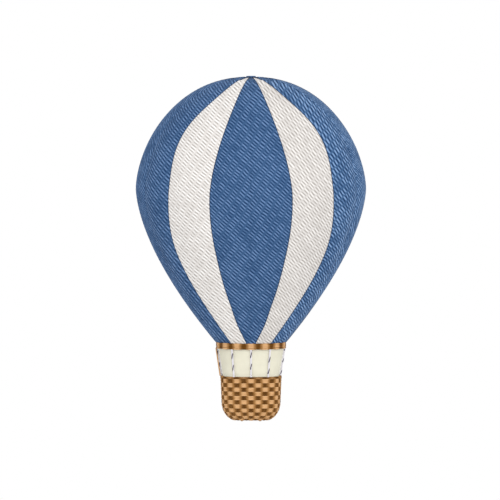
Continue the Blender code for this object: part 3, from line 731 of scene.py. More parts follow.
# %% [markdown]
# ## The parachute valve
# A round panel closes the vent from inside, pressed up by the hot air. It is cut in the same colours as
# the gores around it, in eight wedges, and billows a little between the tapes. It rides on its own body,
# because the pilot pulls it down to let hot air out. Its shape could come from a cloth simulation, but it
# has to keep an even gap to the crown, and a formula does that exactly.

# %% Valve panel
VALVE_RADIUS = 1.20
VALVE_GAP = 0.013
VALVE_BILLOW = 0.012
VALVE_SLANT = 0.79, 0.62
SLOPE_REACH = 0.01
VALVE_RADII = np.array([0.0, 0.06, 0.18, 0.32, 0.46, 0.60, 0.74, 0.88, 1.0, 1.1, 1.17, 1.2])


def valve_point(radius, angle, cross):
    """A point on the panel, which keeps an even gap to the crown and sinks towards its seams."""
    behind, ahead = crown_height(max(radius - SLOPE_REACH, 0)), crown_height(radius + SLOPE_REACH)
    slope = (ahead - behind) / (2 * SLOPE_REACH)
    billow = VALVE_BILLOW * (1 - 4 * cross * (1 - cross)) * radius / VALVE_RADIUS
    sunk = VALVE_GAP * sqrt(1 + slope**2) + billow
    return on_circle(radius, radians(angle), crown_height(radius) - sunk)


def wedge(low, high):
    """One sewn wedge of the panel between two angles from the front."""
    crosses = np.linspace(0, 1, max(6, round((high - low) / 4)))
    points = [[valve_point(r, low + (high - low) * cross, cross) for cross in crosses] for r in VALVE_RADII]
    bm = bmesh.new()
    net(bm, points)
    bmesh.ops.remove_doubles(bm, verts=bm.verts, dist=WELD)
    along, across = VALVE_SLANT
    stamp = {}
    for vertex in bm.verts:
        x, y, _ = vertex.co
        stamp[vertex] = (along * x - across * y, (across * x + along * y) / THREAD_PITCH)
    lay_uv(bm, "Thread", stamp)
    face_up(bm)
    return bm


blue_wedges, white_wedges = fields(CROWN_HEIGHT)
for name, wedges, paint, slot in (
    ("valve_panel_blue", blue_wedges, blue_cloth, "blue_cloth"),
    ("valve_panel_white", white_wedges, white_cloth, "white_cloth"),
):
    bm = joined([wedge(low, high) for low, high in wedges])
    piece = walled(to_piece(name, bm, paint, "parachute_valve", slot), CLOTH_THICKNESS)
    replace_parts(piece, "parachute_valve_panel")
    width = sum(radians(high - low) for low, high in wedges) * VALVE_RADIUS

# %% [markdown]
# ## A tool for cane, cord and tube
# Cane, rope strands and copper tube are all the same thing: a line with a section drawn along it. The lines
# are laid by arithmetic, as a weaver thinks of them, and one Geometry Nodes tree gives them their body. Its
# inputs are the section's half width and half depth and its number of corners, so the tree is built once.

# %% What all trees share
def node_in(tree, kind, **settings):
    node = tree.nodes.new(kind)
    for key, value in settings.items():
        setattr(node, key, value)
    return node


def new_tree(name, inputs):
    """A Geometry Nodes tree with named inputs, and the nodes at its two ends."""
    tree = bpy.data.node_groups.new(name, "GeometryNodeTree")
    tree.is_modifier = True
    for title, kind in [("Geometry", "NodeSocketGeometry"), *inputs]:
        tree.interface.new_socket(title, in_out="INPUT", socket_type=kind)
    tree.interface.new_socket("Geometry", in_out="OUTPUT", socket_type="NodeSocketGeometry")
    return tree, node_in(tree, "NodeGroupInput"), node_in(tree, "NodeGroupOutput")


def finish_tree(tree, start, end, geometry, smooth_faces=True):
    """Every tree ends alike: its faces are shaded, its copies are made real and its material is set."""
    smooth = node_in(tree, "GeometryNodeSetShadeSmooth")
    smooth.inputs["Shade Smooth"].default_value = smooth_faces
    real = node_in(tree, "GeometryNodeRealizeInstances")
    paint = node_in(tree, "GeometryNodeSetMaterial")
    tree.links.new(geometry, smooth.inputs["Geometry"])
    tree.links.new(smooth.outputs[0], real.inputs[0])
    tree.links.new(real.outputs[0], paint.inputs["Geometry"])
    tree.links.new(start.outputs["Material"], paint.inputs["Material"])
    tree.links.new(paint.outputs[0], end.inputs["Geometry"])


# %% The sweep tree
def sweep_tree():
    sizes = [("Half Width", "NodeSocketFloat"), ("Half Depth", "NodeSocketFloat")]
    sizes += [("Corners", "NodeSocketInt"), ("Material", "NodeSocketMaterial")]
    tree, start, end = new_tree("sweep", sizes)
    line = node_in(tree, "GeometryNodeMeshToCurve")
    upright = node_in(tree, "GeometryNodeSetCurveNormal", mode="Z_UP")
    circle = node_in(tree, "GeometryNodeCurvePrimitiveCircle")
    size = node_in(tree, "ShaderNodeCombineXYZ")
    section = node_in(tree, "GeometryNodeTransform")
    body = node_in(tree, "GeometryNodeCurveToMesh")
    body.inputs["Fill Caps"].default_value = True
    tree.links.new(start.outputs["Geometry"], line.inputs["Mesh"])
    tree.links.new(line.outputs["Curve"], upright.inputs["Curve"])
    tree.links.new(start.outputs["Corners"], circle.inputs["Resolution"])
    circle.inputs["Radius"].default_value = 1.0
    tree.links.new(start.outputs["Half Depth"], size.inputs["X"])
    tree.links.new(start.outputs["Half Width"], size.inputs["Y"])
    size.inputs["Z"].default_value = 1.0
    tree.links.new(circle.outputs["Curve"], section.inputs["Geometry"])
    tree.links.new(size.outputs[0], section.inputs["Scale"])
    tree.links.new(upright.outputs["Curve"], body.inputs["Curve"])
    tree.links.new(section.outputs["Geometry"], body.inputs["Profile Curve"])
    finish_tree(tree, start, end, body.outputs["Mesh"])
    return tree


# %% From a tree to a piece
def run_tree(piece, tree, **inputs):
    """Runs a tree on a piece with its inputs set, and keeps the result as a plain mesh."""
    nodes_of = piece.modifiers.new(tree.name, "NODES")
    nodes_of.node_group = tree
    for item in tree.interface.items_tree:
        key = item.name.replace(" ", "_").lower()
        if item.in_out == "INPUT" and key in inputs:
            nodes_of[item.identifier] = inputs[key]
    return applied(piece)


def grown(name, bm, tree, body, slot, **inputs):
    """Points or lines that a tree makes into a finished piece."""
    mesh = bpy.data.meshes.new(name)
    bm.to_mesh(mesh)
    bm.free()
    piece = link(name, mesh)
    run_tree(piece, tree, **inputs)
    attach(piece, body)
    return piece


# %% Lines and their sweep
def drawn(lines):
    """Lines as loose edges. Each is its points, whether it is closed, and numbers to keep for each point."""
    bm = bmesh.new()
    layers = {key: bm.verts.layers.float.new(key) for key in lines[0][2]}
    for points, closed, kept in lines:
        verts = [bm.verts.new(point) for point in points]
        for key, layer in layers.items():
            for vertex, value in zip(verts, np.broadcast_to(kept[key], len(verts))):
                vertex[layer] = value
        for first, second in zip(verts, verts[1:] + verts[:1] if closed else verts[1:]):
            bm.edges.new((first, second))
    return bm


SWEEP = sweep_tree()


def swept(name, lines, half_width, half_depth, paint, body, slot, corners=8):
    """Lines with a body, whose section is an oval of so many corners."""
    section = {"half_width": half_width, "half_depth": half_depth, "corners": corners}
    return grown(name, drawn(lines), SWEEP, body, slot, material=paint, **section)


# %% [markdown]
# ## Cane
# The basket is a plain weave in bold squares: three canes pass together before one column of stakes and
# behind the next, and the three below them do the opposite. The cane is painted golden where it stands out,
# which is painted light, and deep brown where it sinks, which is painted shade. The weave keeps this painted
# light for each point as an attribute, and the paint reads it.

# %% Cane paint
# Painted shade where the cane sinks, a middle tone, and painted light where it stands out.
CANE_DARK = (0.130, 0.050, 0.007)
CANE_MIDDLE = (0.34, 0.168, 0.055)
CANE_LIGHT = (0.64, 0.375, 0.178)
PATCH_LENGTH = 0.9


def cane_paint(name, dark, middle, light):
    """Split cane: painted light where it stands out and painted shade where it sinks, with flecks and
    patches.
    """
    paint = Paint(name, Roughness=0.5, Specular_IOR_Level=0.04)
    painted_light = paint.attribute("painted_light")
    along = paint.attribute("along")
    strip = paint.attribute("strip")
    spot = paint.chance(strip, 1.0)
    fleck = paint.noise(paint.place(), 55.0, detail=2.0)
    patch = paint.chance((along / PATCH_LENGTH + spot * 7.0).math("FLOOR"), strip)
    tone = (painted_light + (fleck - 0.5) * 0.28 + (patch - 0.5) * 0.16).clamped()
    low = paint.blend(tone.step(0.05, 0.52), dark, middle)
    paint.set(Base_Color=paint.blend(tone.step(0.52, 1.02), low, light))
    paint.bump(fleck, 0.003, 0.5)
    return paint.made


woven_cane = cane_paint("woven_cane", CANE_DARK, CANE_MIDDLE, CANE_LIGHT)
print("nodes in the cane's paint:", len(woven_cane.node_tree.nodes))

# %% [markdown]
# ## The basket's wall
# Its plan is a rounded square, and its side turns under in a wide curve to a flat bottom. Canes are level
# loops of that plan. Each is pushed out and pulled in by a cosine that has one swing for each two columns of
# stakes, and the next row of three starts half a swing later, which is all that a chequer weave is.

# %% Plan and side of the basket
BASKET_HALF_WIDTH = 1.20
PLAN_POWER = 3.0
RIM_TOP = -7.372
RIM_WIDTH = 0.115
RIM_HEIGHT = 0.07
SIDE_TAPER = 0.040
BEND_TOP = -8.378
BEND_IN = 0.60
BEND_DOWN = 0.735
WALL_BOTTOM = -9.087
WEAVE_COLUMNS = 28
WEAVE_ROW = 0.168
WEAVE_RISE = 0.012
WEAVE_TONE = 0.53
CANES_EACH = 3
STEPS_EACH = 6
PLAN_ROUND = 7.2

plan_angles = np.linspace(0, 2 * pi, 1441)
plan_powers = abs(np.sin(plan_angles)) ** PLAN_POWER + abs(np.cos(plan_angles)) ** PLAN_POWER
plan_unit = 1 / plan_powers ** (1 / PLAN_POWER)
plan_points = np.stack([plan_unit * np.sin(plan_angles), -plan_unit * np.cos(plan_angles)], axis=1)
plan_run = np.concatenate([[0], np.cumsum(np.linalg.norm(np.diff(plan_points, axis=0), axis=1))])


def plan_loop(half_width, height, shares):
    """Points on the rounded square, at shares of the way round from the front, anticlockwise from above."""
    angle = np.interp(np.asarray(shares) % 1 * plan_run[-1], plan_run, plan_angles)
    radius = half_width * np.interp(angle, plan_angles, plan_unit)
    return np.stack([radius * np.sin(angle), -radius * np.cos(angle), height + 0 * angle], axis=1)


def basket_half_width(height):
    half = BASKET_HALF_WIDTH - SIDE_TAPER * min((RIM_TOP - height) / (RIM_TOP - BEND_TOP), 1.0)
    if height < BEND_TOP:
        half -= BEND_IN * (1 - sqrt(1 - min((BEND_TOP - height) / BEND_DOWN, 1.0) ** 2))
    return half


WALL_TOP = RIM_TOP - RIM_HEIGHT
side_heights = np.concatenate([[WALL_TOP], np.linspace(BEND_TOP, WALL_BOTTOM, 200)])
side_halves = np.array([basket_half_width(height) for height in side_heights])
side_run = np.concatenate([[0], np.cumsum(np.hypot(np.diff(side_halves), np.diff(side_heights)))])
WEAVE_ROWS = round(side_run[-1] / WEAVE_ROW)
print("rows of weave:", WEAVE_ROWS, "down a side of", round(side_run[-1], 2), "m")


# %% Weaving
SQUARENESS = 0.6
SLANT_REACH = 0.02
CANE_HALF_WIDTH = side_run[-1] / (WEAVE_ROWS * CANES_EACH) / 2
CANE_HALF_DEPTH = 0.011


def weave_wave(columns, row, swing):
    """Shares of the way round, the cosine over them, and how far it pushes a cane, with a squarer curve."""
    shares = np.arange(columns * STEPS_EACH) / (columns * STEPS_EACH)
    wave = np.cos(pi * columns * shares) * (-1) ** row
    return shares, wave, np.sign(wave) * abs(wave) ** SQUARENESS * swing


def woven_loop(half_width, height, row, strip, out, up, swing=WEAVE_RISE):
    """One closed cane, which swings out and in along the side's own slant."""
    shares, wave, push = weave_wave(WEAVE_COLUMNS, row, swing)
    points = plan_loop(half_width, height, shares)
    points[:, :2] *= (1 + push * out / half_width)[:, None]
    points[:, 2] += push * up
    # Painted light where the cane swings out and painted shade where it swings in.
    painted_light = WEAVE_TONE + WEAVE_TONE * wave
    return points, True, {"painted_light": painted_light, "along": shares * half_width * PLAN_ROUND, "strip": float(strip)}


canes = []
for strip in range(WEAVE_ROWS * CANES_EACH):
    run = (strip + 0.5) * 2 * CANE_HALF_WIDTH
    height = float(np.interp(run, side_run, side_heights))
    ahead, behind = (np.interp(run + shift, side_run, side_halves) for shift in (SLANT_REACH, -SLANT_REACH))
    slant = float(np.arctan2(behind - ahead, 2 * SLANT_REACH))
    half = basket_half_width(height) - (WEAVE_RISE + CANE_HALF_DEPTH) * cos(slant)
    height += (WEAVE_RISE + CANE_HALF_DEPTH) * sin(slant)
    canes.append(woven_loop(half, height, strip // CANES_EACH, strip, cos(slant), -sin(slant)))
weave = swept("basket_weave", canes, CANE_HALF_WIDTH, CANE_HALF_DEPTH, woven_cane, "balloon", "cane")
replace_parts(weave, "basket_wall")
print("the weave has", len(weave.data.polygons), "faces")

# %% [markdown]
# ## Stakes
# Three upright canes stand in the middle of each column and hold the level ones in place. They show only
# where those pass behind them. They could be copies of one straight stick, but the side turns under at the
# bottom, so each is a line of its own that follows the side.

# %% Stakes
STAKES_EACH = 3
STAKE_PITCH = 0.046
STAKE_HALF_WIDTH = 0.021
STAKE_HALF_DEPTH = 0.006
STAKE_DEPTH = 0.022
STAKE_SWING = 0.008
# The stakes stand back behind the wall's face, so their low tone is painted shade.
STAKE_SHADE = 0.26
STAKE_SHARE = STAKE_PITCH / (BASKET_HALF_WIDTH * plan_run[-1])
# Every cane has its own number, from which the paint draws its patches. The wall's canes start at 0.
BASE_STRIP, BINDING_STRIP, HOOP_STRIP, STAKE_STRIP = 100, 200, 300, 400


def stake(column, number):
    """One upright cane of a column, which swings out wherever the level canes pass behind it."""
    share = column / WEAVE_COLUMNS + (number - (STAKES_EACH - 1) / 2) * STAKE_SHARE
    points = []
    for run in np.linspace(0.01, side_run[-1] - 0.01, 4 * WEAVE_ROWS + 1):
        height = float(np.interp(run, side_run, side_heights))
        half = float(np.interp(run, side_run, side_halves))
        depth = STAKE_DEPTH + STAKE_SWING * (-1) ** column * sin(pi * run / side_run[-1] * WEAVE_ROWS)
        points.append(plan_loop(half - depth, height, [share])[0])
    strip = STAKE_STRIP + column * STAKES_EACH + number
    along = np.linspace(0, 2, len(points))
    return points, False, {"painted_light": STAKE_SHADE, "along": along, "strip": float(strip)}


stakes = [stake(column, number) for column in range(WEAVE_COLUMNS) for number in range(STAKES_EACH)]
stakes = swept("basket_stakes", stakes, STAKE_HALF_WIDTH, STAKE_HALF_DEPTH, woven_cane, "balloon", "cane", 6)
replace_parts(stakes, "basket_wall")
print("the stakes have", len(stakes.data.polygons), "faces")

# %% [markdown]
# ## The bottom and the lining
# The last row of the side meets flat loops of cane, each smaller than the one before it, down to the middle.
# Between the canes of a real basket one sees more cane, in shade. A thin lining painted dark, as painted
# shade, stands for it and keeps the light from shining through, which costs far fewer faces than a second
# layer of canes.

# %% Bottom canes
BASE_SWING = 0.004
bottom_half = basket_half_width(WALL_BOTTOM)
turns_in = int(bottom_half / (2 * CANE_HALF_WIDTH))
flat_canes = []
for turn in range(turns_in):
    half = bottom_half - (turn + 0.5) * 2 * CANE_HALF_WIDTH
    strip = BASE_STRIP + turn
    row = WEAVE_ROWS + turn // CANES_EACH
    flat_canes.append(woven_loop(half, WALL_BOTTOM + CANE_HALF_DEPTH, row, strip, 0, -1, BASE_SWING))
base = swept("basket_bottom", flat_canes, CANE_HALF_DEPTH, CANE_HALF_WIDTH, woven_cane, "balloon", "cane", 6)
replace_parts(base, "basket_wall")
print("loops of cane under the floor:", turns_in)

# %% Lining
LINING_THICKNESS = 0.003
LINING_GAP = 0.008
LINING_DEPTH = WEAVE_RISE + CANE_HALF_DEPTH + LINING_GAP
LINING_FLOOR = WALL_BOTTOM + 2 * CANE_HALF_DEPTH + 0.004
# Dark browns that paint the shade seen between the canes.
LINING_SHADE_COLORS = (0.110, 0.042, 0.006), (0.160, 0.066, 0.014)
lining_heights = np.interp(np.linspace(0, side_run[-1], 18), side_run, side_heights)
shares = np.arange(96) / 96
rows = [plan_loop(basket_half_width(height) - LINING_DEPTH, height, shares) for height in lining_heights]
rows += [plan_loop(half, LINING_FLOOR, shares) for half in (0.70, 0.35)]
bm = bmesh.new()
grid = net(bm, rows, around=True)
bm.faces.new(grid[-1][::-1])
bmesh.ops.recalc_face_normals(bm, faces=bm.faces)
lining_shade_paint = Paint("lining", Roughness=0.9)
lining_noise = lining_shade_paint.noise(lining_shade_paint.place(), 30.0)
lining_shade_paint.set(Base_Color=lining_shade_paint.blend(lining_noise, *LINING_SHADE_COLORS))
lining = walled(to_piece("basket_lining", bm, lining_shade_paint.made, "balloon", "cane"), LINING_THICKNESS)
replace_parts(lining, "basket_wall")
print("the lining stands", round(LINING_DEPTH, 3), "m inside the wall's outer face")

# %% [markdown]
# ## The rim
# The canes end in a thick roll that is bound with cane. A pattern on a smooth roll would look flat along
# its outline, so the binding is one real line wound round and round a plain core. Its painted light and
# shade carry the chequer on for one more row, though the binding does not go in and out.

# %% Bound rim
BINDING_TURNS = 290
BINDING_POINTS = 10
BINDING_HALF_WIDTH = 0.0185
BINDING_HALF_DEPTH = 0.005
BINDING_TONE, BINDING_SWING = 0.42, 0.36
BINDING_RUN = 60
ROLL_POWER = 5
rim_middle = BASKET_HALF_WIDTH - RIM_WIDTH / 2
rim_height = RIM_TOP - RIM_HEIGHT / 2
count = BINDING_TURNS * BINDING_POINTS
shares = np.arange(count) / count
turn = 2 * pi * BINDING_TURNS * shares
square = (abs(np.cos(turn)) ** ROLL_POWER + abs(np.sin(turn)) ** ROLL_POWER) ** (-1 / ROLL_POWER)
middle = plan_loop(1.0, 0.0, shares)
out = rim_middle + (RIM_WIDTH / 2 - BINDING_HALF_DEPTH) * square * np.cos(turn)
points = middle * out[:, None]
points[:, 2] = rim_height + (RIM_HEIGHT / 2 - BINDING_HALF_DEPTH) * square * np.sin(turn)
# Painted light and shade that follow the chequer's columns.
tone = BINDING_TONE - BINDING_SWING * np.cos(pi * WEAVE_COLUMNS * shares)
line = points, True, {"painted_light": tone, "along": shares * BINDING_RUN, "strip": float(BINDING_STRIP)}
section = BINDING_HALF_WIDTH, BINDING_HALF_DEPTH
binding = swept("rim_binding", [line], *section, woven_cane, "balloon", "cane", 6)
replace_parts(binding, "basket_rim")
print("the binding has", len(binding.data.polygons), "faces")

# %% The rim's core
CORE_DEPTH = 0.009
shares = np.arange(120) / 120
core_half, core_rise = RIM_WIDTH / 2 - CORE_DEPTH, RIM_HEIGHT / 2 - CORE_DEPTH
rows = [
    plan_loop(rim_middle + side * core_half, rim_height + up * core_rise, shares)
    for side, up in ((1, 1), (1, -1), (-1, -1), (-1, 1))
]
bm = bmesh.new()
net(bm, rows, around=True, closed=True)
bmesh.ops.recalc_face_normals(bm, faces=bm.faces)
# The core is painted dark, as shade between the binding's turns.
rim_core = to_piece("rim_core", bm, lining_shade_paint.made, "balloon", "cane", smooth=False)
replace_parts(rim_core, "basket_rim")
print("the core lies", CORE_DEPTH, "m under the roll's outer face")

# %% [markdown]
# ## The mouth hoop
# The gores end on a stout ring that keeps the mouth open, and the ropes hang from it. Its outer face shows
# one row of the basket's chequer, four canes high. The same wave lays them, only on a circle, and the lowest
# cane sags a little wherever it stands out.

# %% Woven hoop
HOOP_OUTER = 1.383
HOOP_INNER = 1.255
HOOP_HEIGHT = 0.235
HOOP_CANES = 4
HOOP_COLUMNS = 30
HOOP_SAG = 0.012
HOOP_TONE = 0.55
HOOP_ROUND = 8.7
HOOP_BOTTOM = -MOUTH_DROP - HOOP_HEIGHT
hoop_lines = []
hoop_half = HOOP_HEIGHT / HOOP_CANES / 2
shares, wave, push = weave_wave(HOOP_COLUMNS, 0, WEAVE_RISE)
radius = HOOP_OUTER - WEAVE_RISE - CANE_HALF_DEPTH + push
turn = 2 * pi * shares
for strip in range(HOOP_CANES):
    sag = HOOP_SAG if strip == HOOP_CANES - 1 else 0
    height = -MOUTH_DROP - (2 * strip + 1) * hoop_half - sag * (0.5 + 0.5 * wave)
    points = np.stack([radius * np.sin(turn), -radius * np.cos(turn), height], axis=1)
    # Painted light where a cane stands out and painted shade where it sinks.
    painted_light = HOOP_TONE + HOOP_TONE * wave
    kept = {"painted_light": painted_light, "along": shares * HOOP_ROUND, "strip": float(HOOP_STRIP + strip)}
    hoop_lines.append((points, True, kept))
hoop = swept("hoop_weave", hoop_lines, hoop_half, CANE_HALF_DEPTH, woven_cane, "balloon", "cane")
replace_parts(hoop, "mouth_hoop")
print("the hoop's weave has", len(hoop.data.polygons), "faces")

# %% The hoop's core
hoop_section = [
    (MOUTH_RADIUS - 0.030, -MOUTH_DROP - 0.002),
    (MOUTH_RADIUS - 0.030, HOOP_BOTTOM + 0.002),
    (HOOP_INNER + 0.012, HOOP_BOTTOM),
    (HOOP_INNER, HOOP_BOTTOM + 0.015),
    (HOOP_INNER, -MOUTH_DROP - 0.025),
    (HOOP_INNER + 0.025, -MOUTH_DROP),
]
bm = bmesh.new()
revolved(bm, hoop_section, np.arange(96) / 96 * 2 * pi, closed=True)
bmesh.ops.recalc_face_normals(bm, faces=bm.faces)
# The core is painted dark, as shade between and behind the hoop's canes.
hoop_core = to_piece("hoop_core", bm, lining_shade_paint.made, "balloon", "cane", smooth=False)
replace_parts(hoop_core, "mouth_hoop")
print("the hoop's core has", len(hoop_core.data.polygons), "faces")

# %% [markdown]
# ## Ropes
# Eight ropes join hoop and basket. Each is laid from three strands, two of them white. A dark yarn is
# twisted into the third so that it comes out where the strand is outermost, which gives a short dark dash in
# every turn of the lay. A strand is a helix round the rope's line, and the mesh keeps how far it faces
# outwards. The ends are whipped with twine where they enter the hoop and the rim.

# %% Rope paints
def strand_paint(name, dark, light, tracer=None):
    """Twisted yarn: fine ridges across the strand, bumped and painted with shade in their troughs, and a
    tracer's colour where it faces outwards.
    """
    paint = Paint(name, Roughness=0.8, Specular_IOR_Level=0.15)
    fuzz = paint.noise(paint.place(), 90.0, detail=2.0)
    ridge = (paint.attribute("along") * 420.0).math("SINE") * 0.25 + 0.5
    tone = ridge * 0.6 + fuzz * 0.5
    color = paint.blend(tone.step(0.2, 0.8), dark, light)
    if tracer:
        out = paint.attribute("outwards") + (fuzz - 0.5) * 0.4
        color = paint.blend(out.step(-0.3, 0.4), color, tracer)
    paint.set(Base_Color=color)
    paint.bump(tone, 0.002, 0.6)
    return paint.made


YARN = (0.60, 0.58, 0.63), (0.82, 0.80, 0.83)
white_strand = strand_paint("white_strand", *YARN)
dashed_strand = strand_paint("dashed_strand", *YARN, tracer=(0.070, 0.055, 0.095))
tan_cord = strand_paint("tan_cord", (0.42, 0.22, 0.085), (0.64, 0.39, 0.19))
print("yarns:", ", ".join(yarn.name for yarn in (white_strand, dashed_strand, tan_cord)))

# %% Where the ropes run
ROPE_TOP_RADIUS = 1.325
ROPE_LOW_RADIUS = 1.150
ROPE_TOP_ANGLE = 34.4
ROPE_LOW_ANGLE = 32.0
ROPE_ANGLES = {
    "rope_front": 0,
    "rope_front_right": ROPE_TOP_ANGLE,
    "rope_right": 90,
    "rope_back_right": 180 - ROPE_TOP_ANGLE,
    "rope_back": 180,
    "rope_back_left": 180 + ROPE_TOP_ANGLE,
    "rope_left": 270,
    "rope_front_left": 360 - ROPE_TOP_ANGLE,
}


def foot_angle(angle):
    """Where a line that leaves the round hoop at an angle meets the square rim."""
    pull = (ROPE_TOP_ANGLE - ROPE_LOW_ANGLE) / sin(radians(2 * ROPE_TOP_ANGLE))
    return angle - pull * sin(radians(2 * angle))


def on_rim(half_width, angle, height):
    """A point on the rounded square at an angle from the front."""
    turn = radians(angle % 360)
    radius = half_width * float(np.interp(turn, plan_angles, plan_unit))
    return Vector(on_circle(radius, turn, height))


def rope_ends(angle):
    high = Vector(on_circle(ROPE_TOP_RADIUS, radians(angle), HOOP_BOTTOM))
    return high, on_rim(ROPE_LOW_RADIUS, foot_angle(angle), RIM_TOP)


# %% Strands and lashings
ROPE_RADIUS = 0.040
STRAND_RADIUS = 0.0188
STRAND_POINTS = 44
LAY = 0.46
LASHING_TURNS = 5
LASHING_STEPS = 12
LASHING_PITCH = 0.011


def across(high, low):
    """Two directions square to a line, to draw circles round it."""
    line = (low - high).normalized()
    side = line.cross(Vector((0, 0, 1))).normalized()
    return side, line.cross(side)


def strand(high, low, start):
    """One strand's helix down a rope."""
    side, back = across(high, low)
    length = (low - high).length
    away = Vector((high.x, high.y, 0)).normalized()
    points, outwards = [], []
    for place in np.linspace(0, 1, STRAND_POINTS):
        turn = 2 * pi * place * length / LAY + start
        ring = side * cos(turn) + back * sin(turn)
        points.append(high.lerp(low, place) + (ROPE_RADIUS - STRAND_RADIUS) * ring)
        outwards.append(ring.dot(away))
    return points, False, {"along": np.linspace(0, length, STRAND_POINTS), "outwards": outwards}


def lashing(high, low, place):
    """A few turns of twine round a rope, from a place on it downwards."""
    side, back = across(high, low)
    line = (low - high).normalized()
    points = []
    for step in range(LASHING_TURNS * LASHING_STEPS + 1):
        turn = 2 * pi * step / LASHING_STEPS
        ring = (ROPE_RADIUS - 0.001) * (side * cos(turn) + back * sin(turn))
        points.append(high + line * (place + LASHING_PITCH * step / LASHING_STEPS) + ring)
    return points, False, {"along": np.linspace(0, LASHING_TURNS * 0.25, len(points))}


# %% Laid ropes
LAY_STARTS = {"rope_front_left": 3.4, "rope_front": 4.8, "rope_front_right": 3.0}
TWINE_RADIUS = 0.006
LASHING_LENGTH = 0.066

whippings = []
for name, angle in ROPE_ANGLES.items():
    high, low = rope_ends(angle)
    start = LAY_STARTS.get(name, radians(angle))
    pairs = [strand(high, low, start + turn) for turn in (2 * pi / 3, 4 * pi / 3)]
    white = swept(name + "_strands", pairs, STRAND_RADIUS, STRAND_RADIUS, white_strand, "balloon", "rope")
    third = [strand(high, low, start)]
    dashed = swept(name + "_tracer", third, STRAND_RADIUS, STRAND_RADIUS, dashed_strand, "balloon", "rope")
    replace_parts(white, name)
    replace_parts(dashed, name)
    places = TWINE_RADIUS, (low - high).length - LASHING_LENGTH
    whippings += [lashing(high, low, place) for place in places]
swept("rope_whippings", whippings, TWINE_RADIUS, TWINE_RADIUS, white_strand, "balloon", "rope", 6)
print("a rope is", round((low - high).length, 2), "m long")

# %% [markdown]
# ## The tan cord
# A single tan cord runs down close beside the left rope. It starts under the hoop and comes out a little on
# its way to the rim. It could be laid from strands like the ropes, but its twist is so fine that one swept
# line with the yarn's paint shows it as well.

# %% Tan cord
CORD_RADIUS = 0.024
CORD_START = -0.050, -0.034
CORD_DRIFT = -0.012, 0.014
high, low = rope_ends(ROPE_ANGLES["rope_left"])
places = np.linspace(0, 1, 24)
points = []
for place in places:
    x, y = (start + drift * place for start, drift in zip(CORD_START, CORD_DRIFT))
    points.append(high.lerp(low, place) + Vector((x, y, 0)))
cord = [(points, False, {"along": places * 1.1})]
swept("side_cord", cord, CORD_RADIUS, CORD_RADIUS, tan_cord, "balloon", "rope")
print("the cord is", 2 * CORD_RADIUS, "m thick")

# %% [markdown]
# ## The scoop
# A cloth skirt closes the front and sides between hoop and basket, and leads the wind into the mouth. It is
# open at the back, where the pilot reaches the burner. The wind presses it inwards a little between the
# ropes, away from which it always stays. Its four edges are hemmed, and a seam runs behind each rope. It is
# stretched so tight that a simulation would add nothing, so two sines give its hollows at once.

# %% Cream cloth
CREAM_YARNS = 2600.0


def plain_cloth(name, low, high):
    """Matt closely woven cloth with a little unevenness."""
    paint = Paint(name, Roughness=0.85, Specular_IOR_Level=0.1)
    across_cloth, down_cloth, _ = paint.parts(paint.place("Weave"))
    weave = (across_cloth * CREAM_YARNS).math("SINE") + (down_cloth * CREAM_YARNS).math("SINE")
    cloud = paint.noise(paint.place(), 3.0, detail=4.0)
    tone = cloud + weave * 0.03
    paint.set(Base_Color=paint.blend(tone.step(0.3, 0.7), low, high))
    paint.bump(weave, 0.0006, 0.5)
    return paint.made


cream_cloth = plain_cloth("cream_cloth", (0.665, 0.640, 0.518), (0.700, 0.675, 0.550))
print("nodes in the cream cloth's paint:", len(cream_cloth.node_tree.nodes))

# %% Scoop
SCOOP_TOP_RADIUS = 1.277
SCOOP_LOW_RADIUS = 1.102
SCOOP_REACH = 143.0
SCOOP_BILLOW = 0.022
HEM = 0.045
HEM_RISE = 0.0025
SIDE_HEM = 2.1
scoop_top = HOOP_BOTTOM - 0.001
rope_stops = sorted({a if a <= 180 else a - 360 for a in ROPE_ANGLES.values()} - {180})
stops = np.array([-SCOOP_REACH, *[a for a in rope_stops if abs(a) < SCOOP_REACH], SCOOP_REACH])
scoop_angles = np.unique(np.concatenate([np.linspace(-SCOOP_REACH, SCOOP_REACH, 145), stops]))
hem_rows = [0, 0.002, HEM * 0.97, 1 - HEM * 0.97, 0.998, 1]
scoop_rows = np.sort(np.concatenate([hem_rows, np.linspace(HEM, 1 - HEM, 22)]))


def scoop_point(angle, share, out=0.0):
    """A point on the scoop's outer face, at a share of the way down it."""
    top_point = Vector(on_circle(SCOOP_TOP_RADIUS, radians(angle), scoop_top))
    point = top_point.lerp(on_rim(SCOOP_LOW_RADIUS, foot_angle(angle), RIM_TOP + 0.001), share)
    stop = int(np.clip(np.searchsorted(stops, angle, side="right") - 1, 0, len(stops) - 2))
    cross = (angle - stops[stop]) / (stops[stop + 1] - stops[stop])
    billow = SCOOP_BILLOW * sin(pi * share) * sin(pi * min(max(cross, 0), 1)) ** 2
    hemmed = share < HEM or share > 1 - HEM or SCOOP_REACH - abs(angle) < SIDE_HEM
    return point + Vector((point.x, point.y, 0)).normalized() * (HEM_RISE * hemmed - billow - 0.001 + out)


bm = bmesh.new()
grid = net(bm, [[scoop_point(angle, share) for angle in scoop_angles] for share in scoop_rows])
stamp = {}
for share, row in zip(scoop_rows, grid):
    stamp |= {vertex: (radians(angle) * 1.2, -share) for angle, vertex in zip(scoop_angles, row)}
lay_uv(bm, "Weave", stamp)
scoop = walled(to_piece("scoop_cloth", bm, cream_cloth, "balloon", "cream_cloth"), CLOTH_THICKNESS)
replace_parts(scoop, "scoop")

# %% [markdown]
# ## Stitching
# One row of stitches holds each hem, and two rows hold the seam behind each rope. A stitch is a small bead
# that is drawn out along the thread. There are far too many to place one by one, so a Geometry Nodes tree
# lays them at an even pitch along lines on the cloth and turns each along its line.

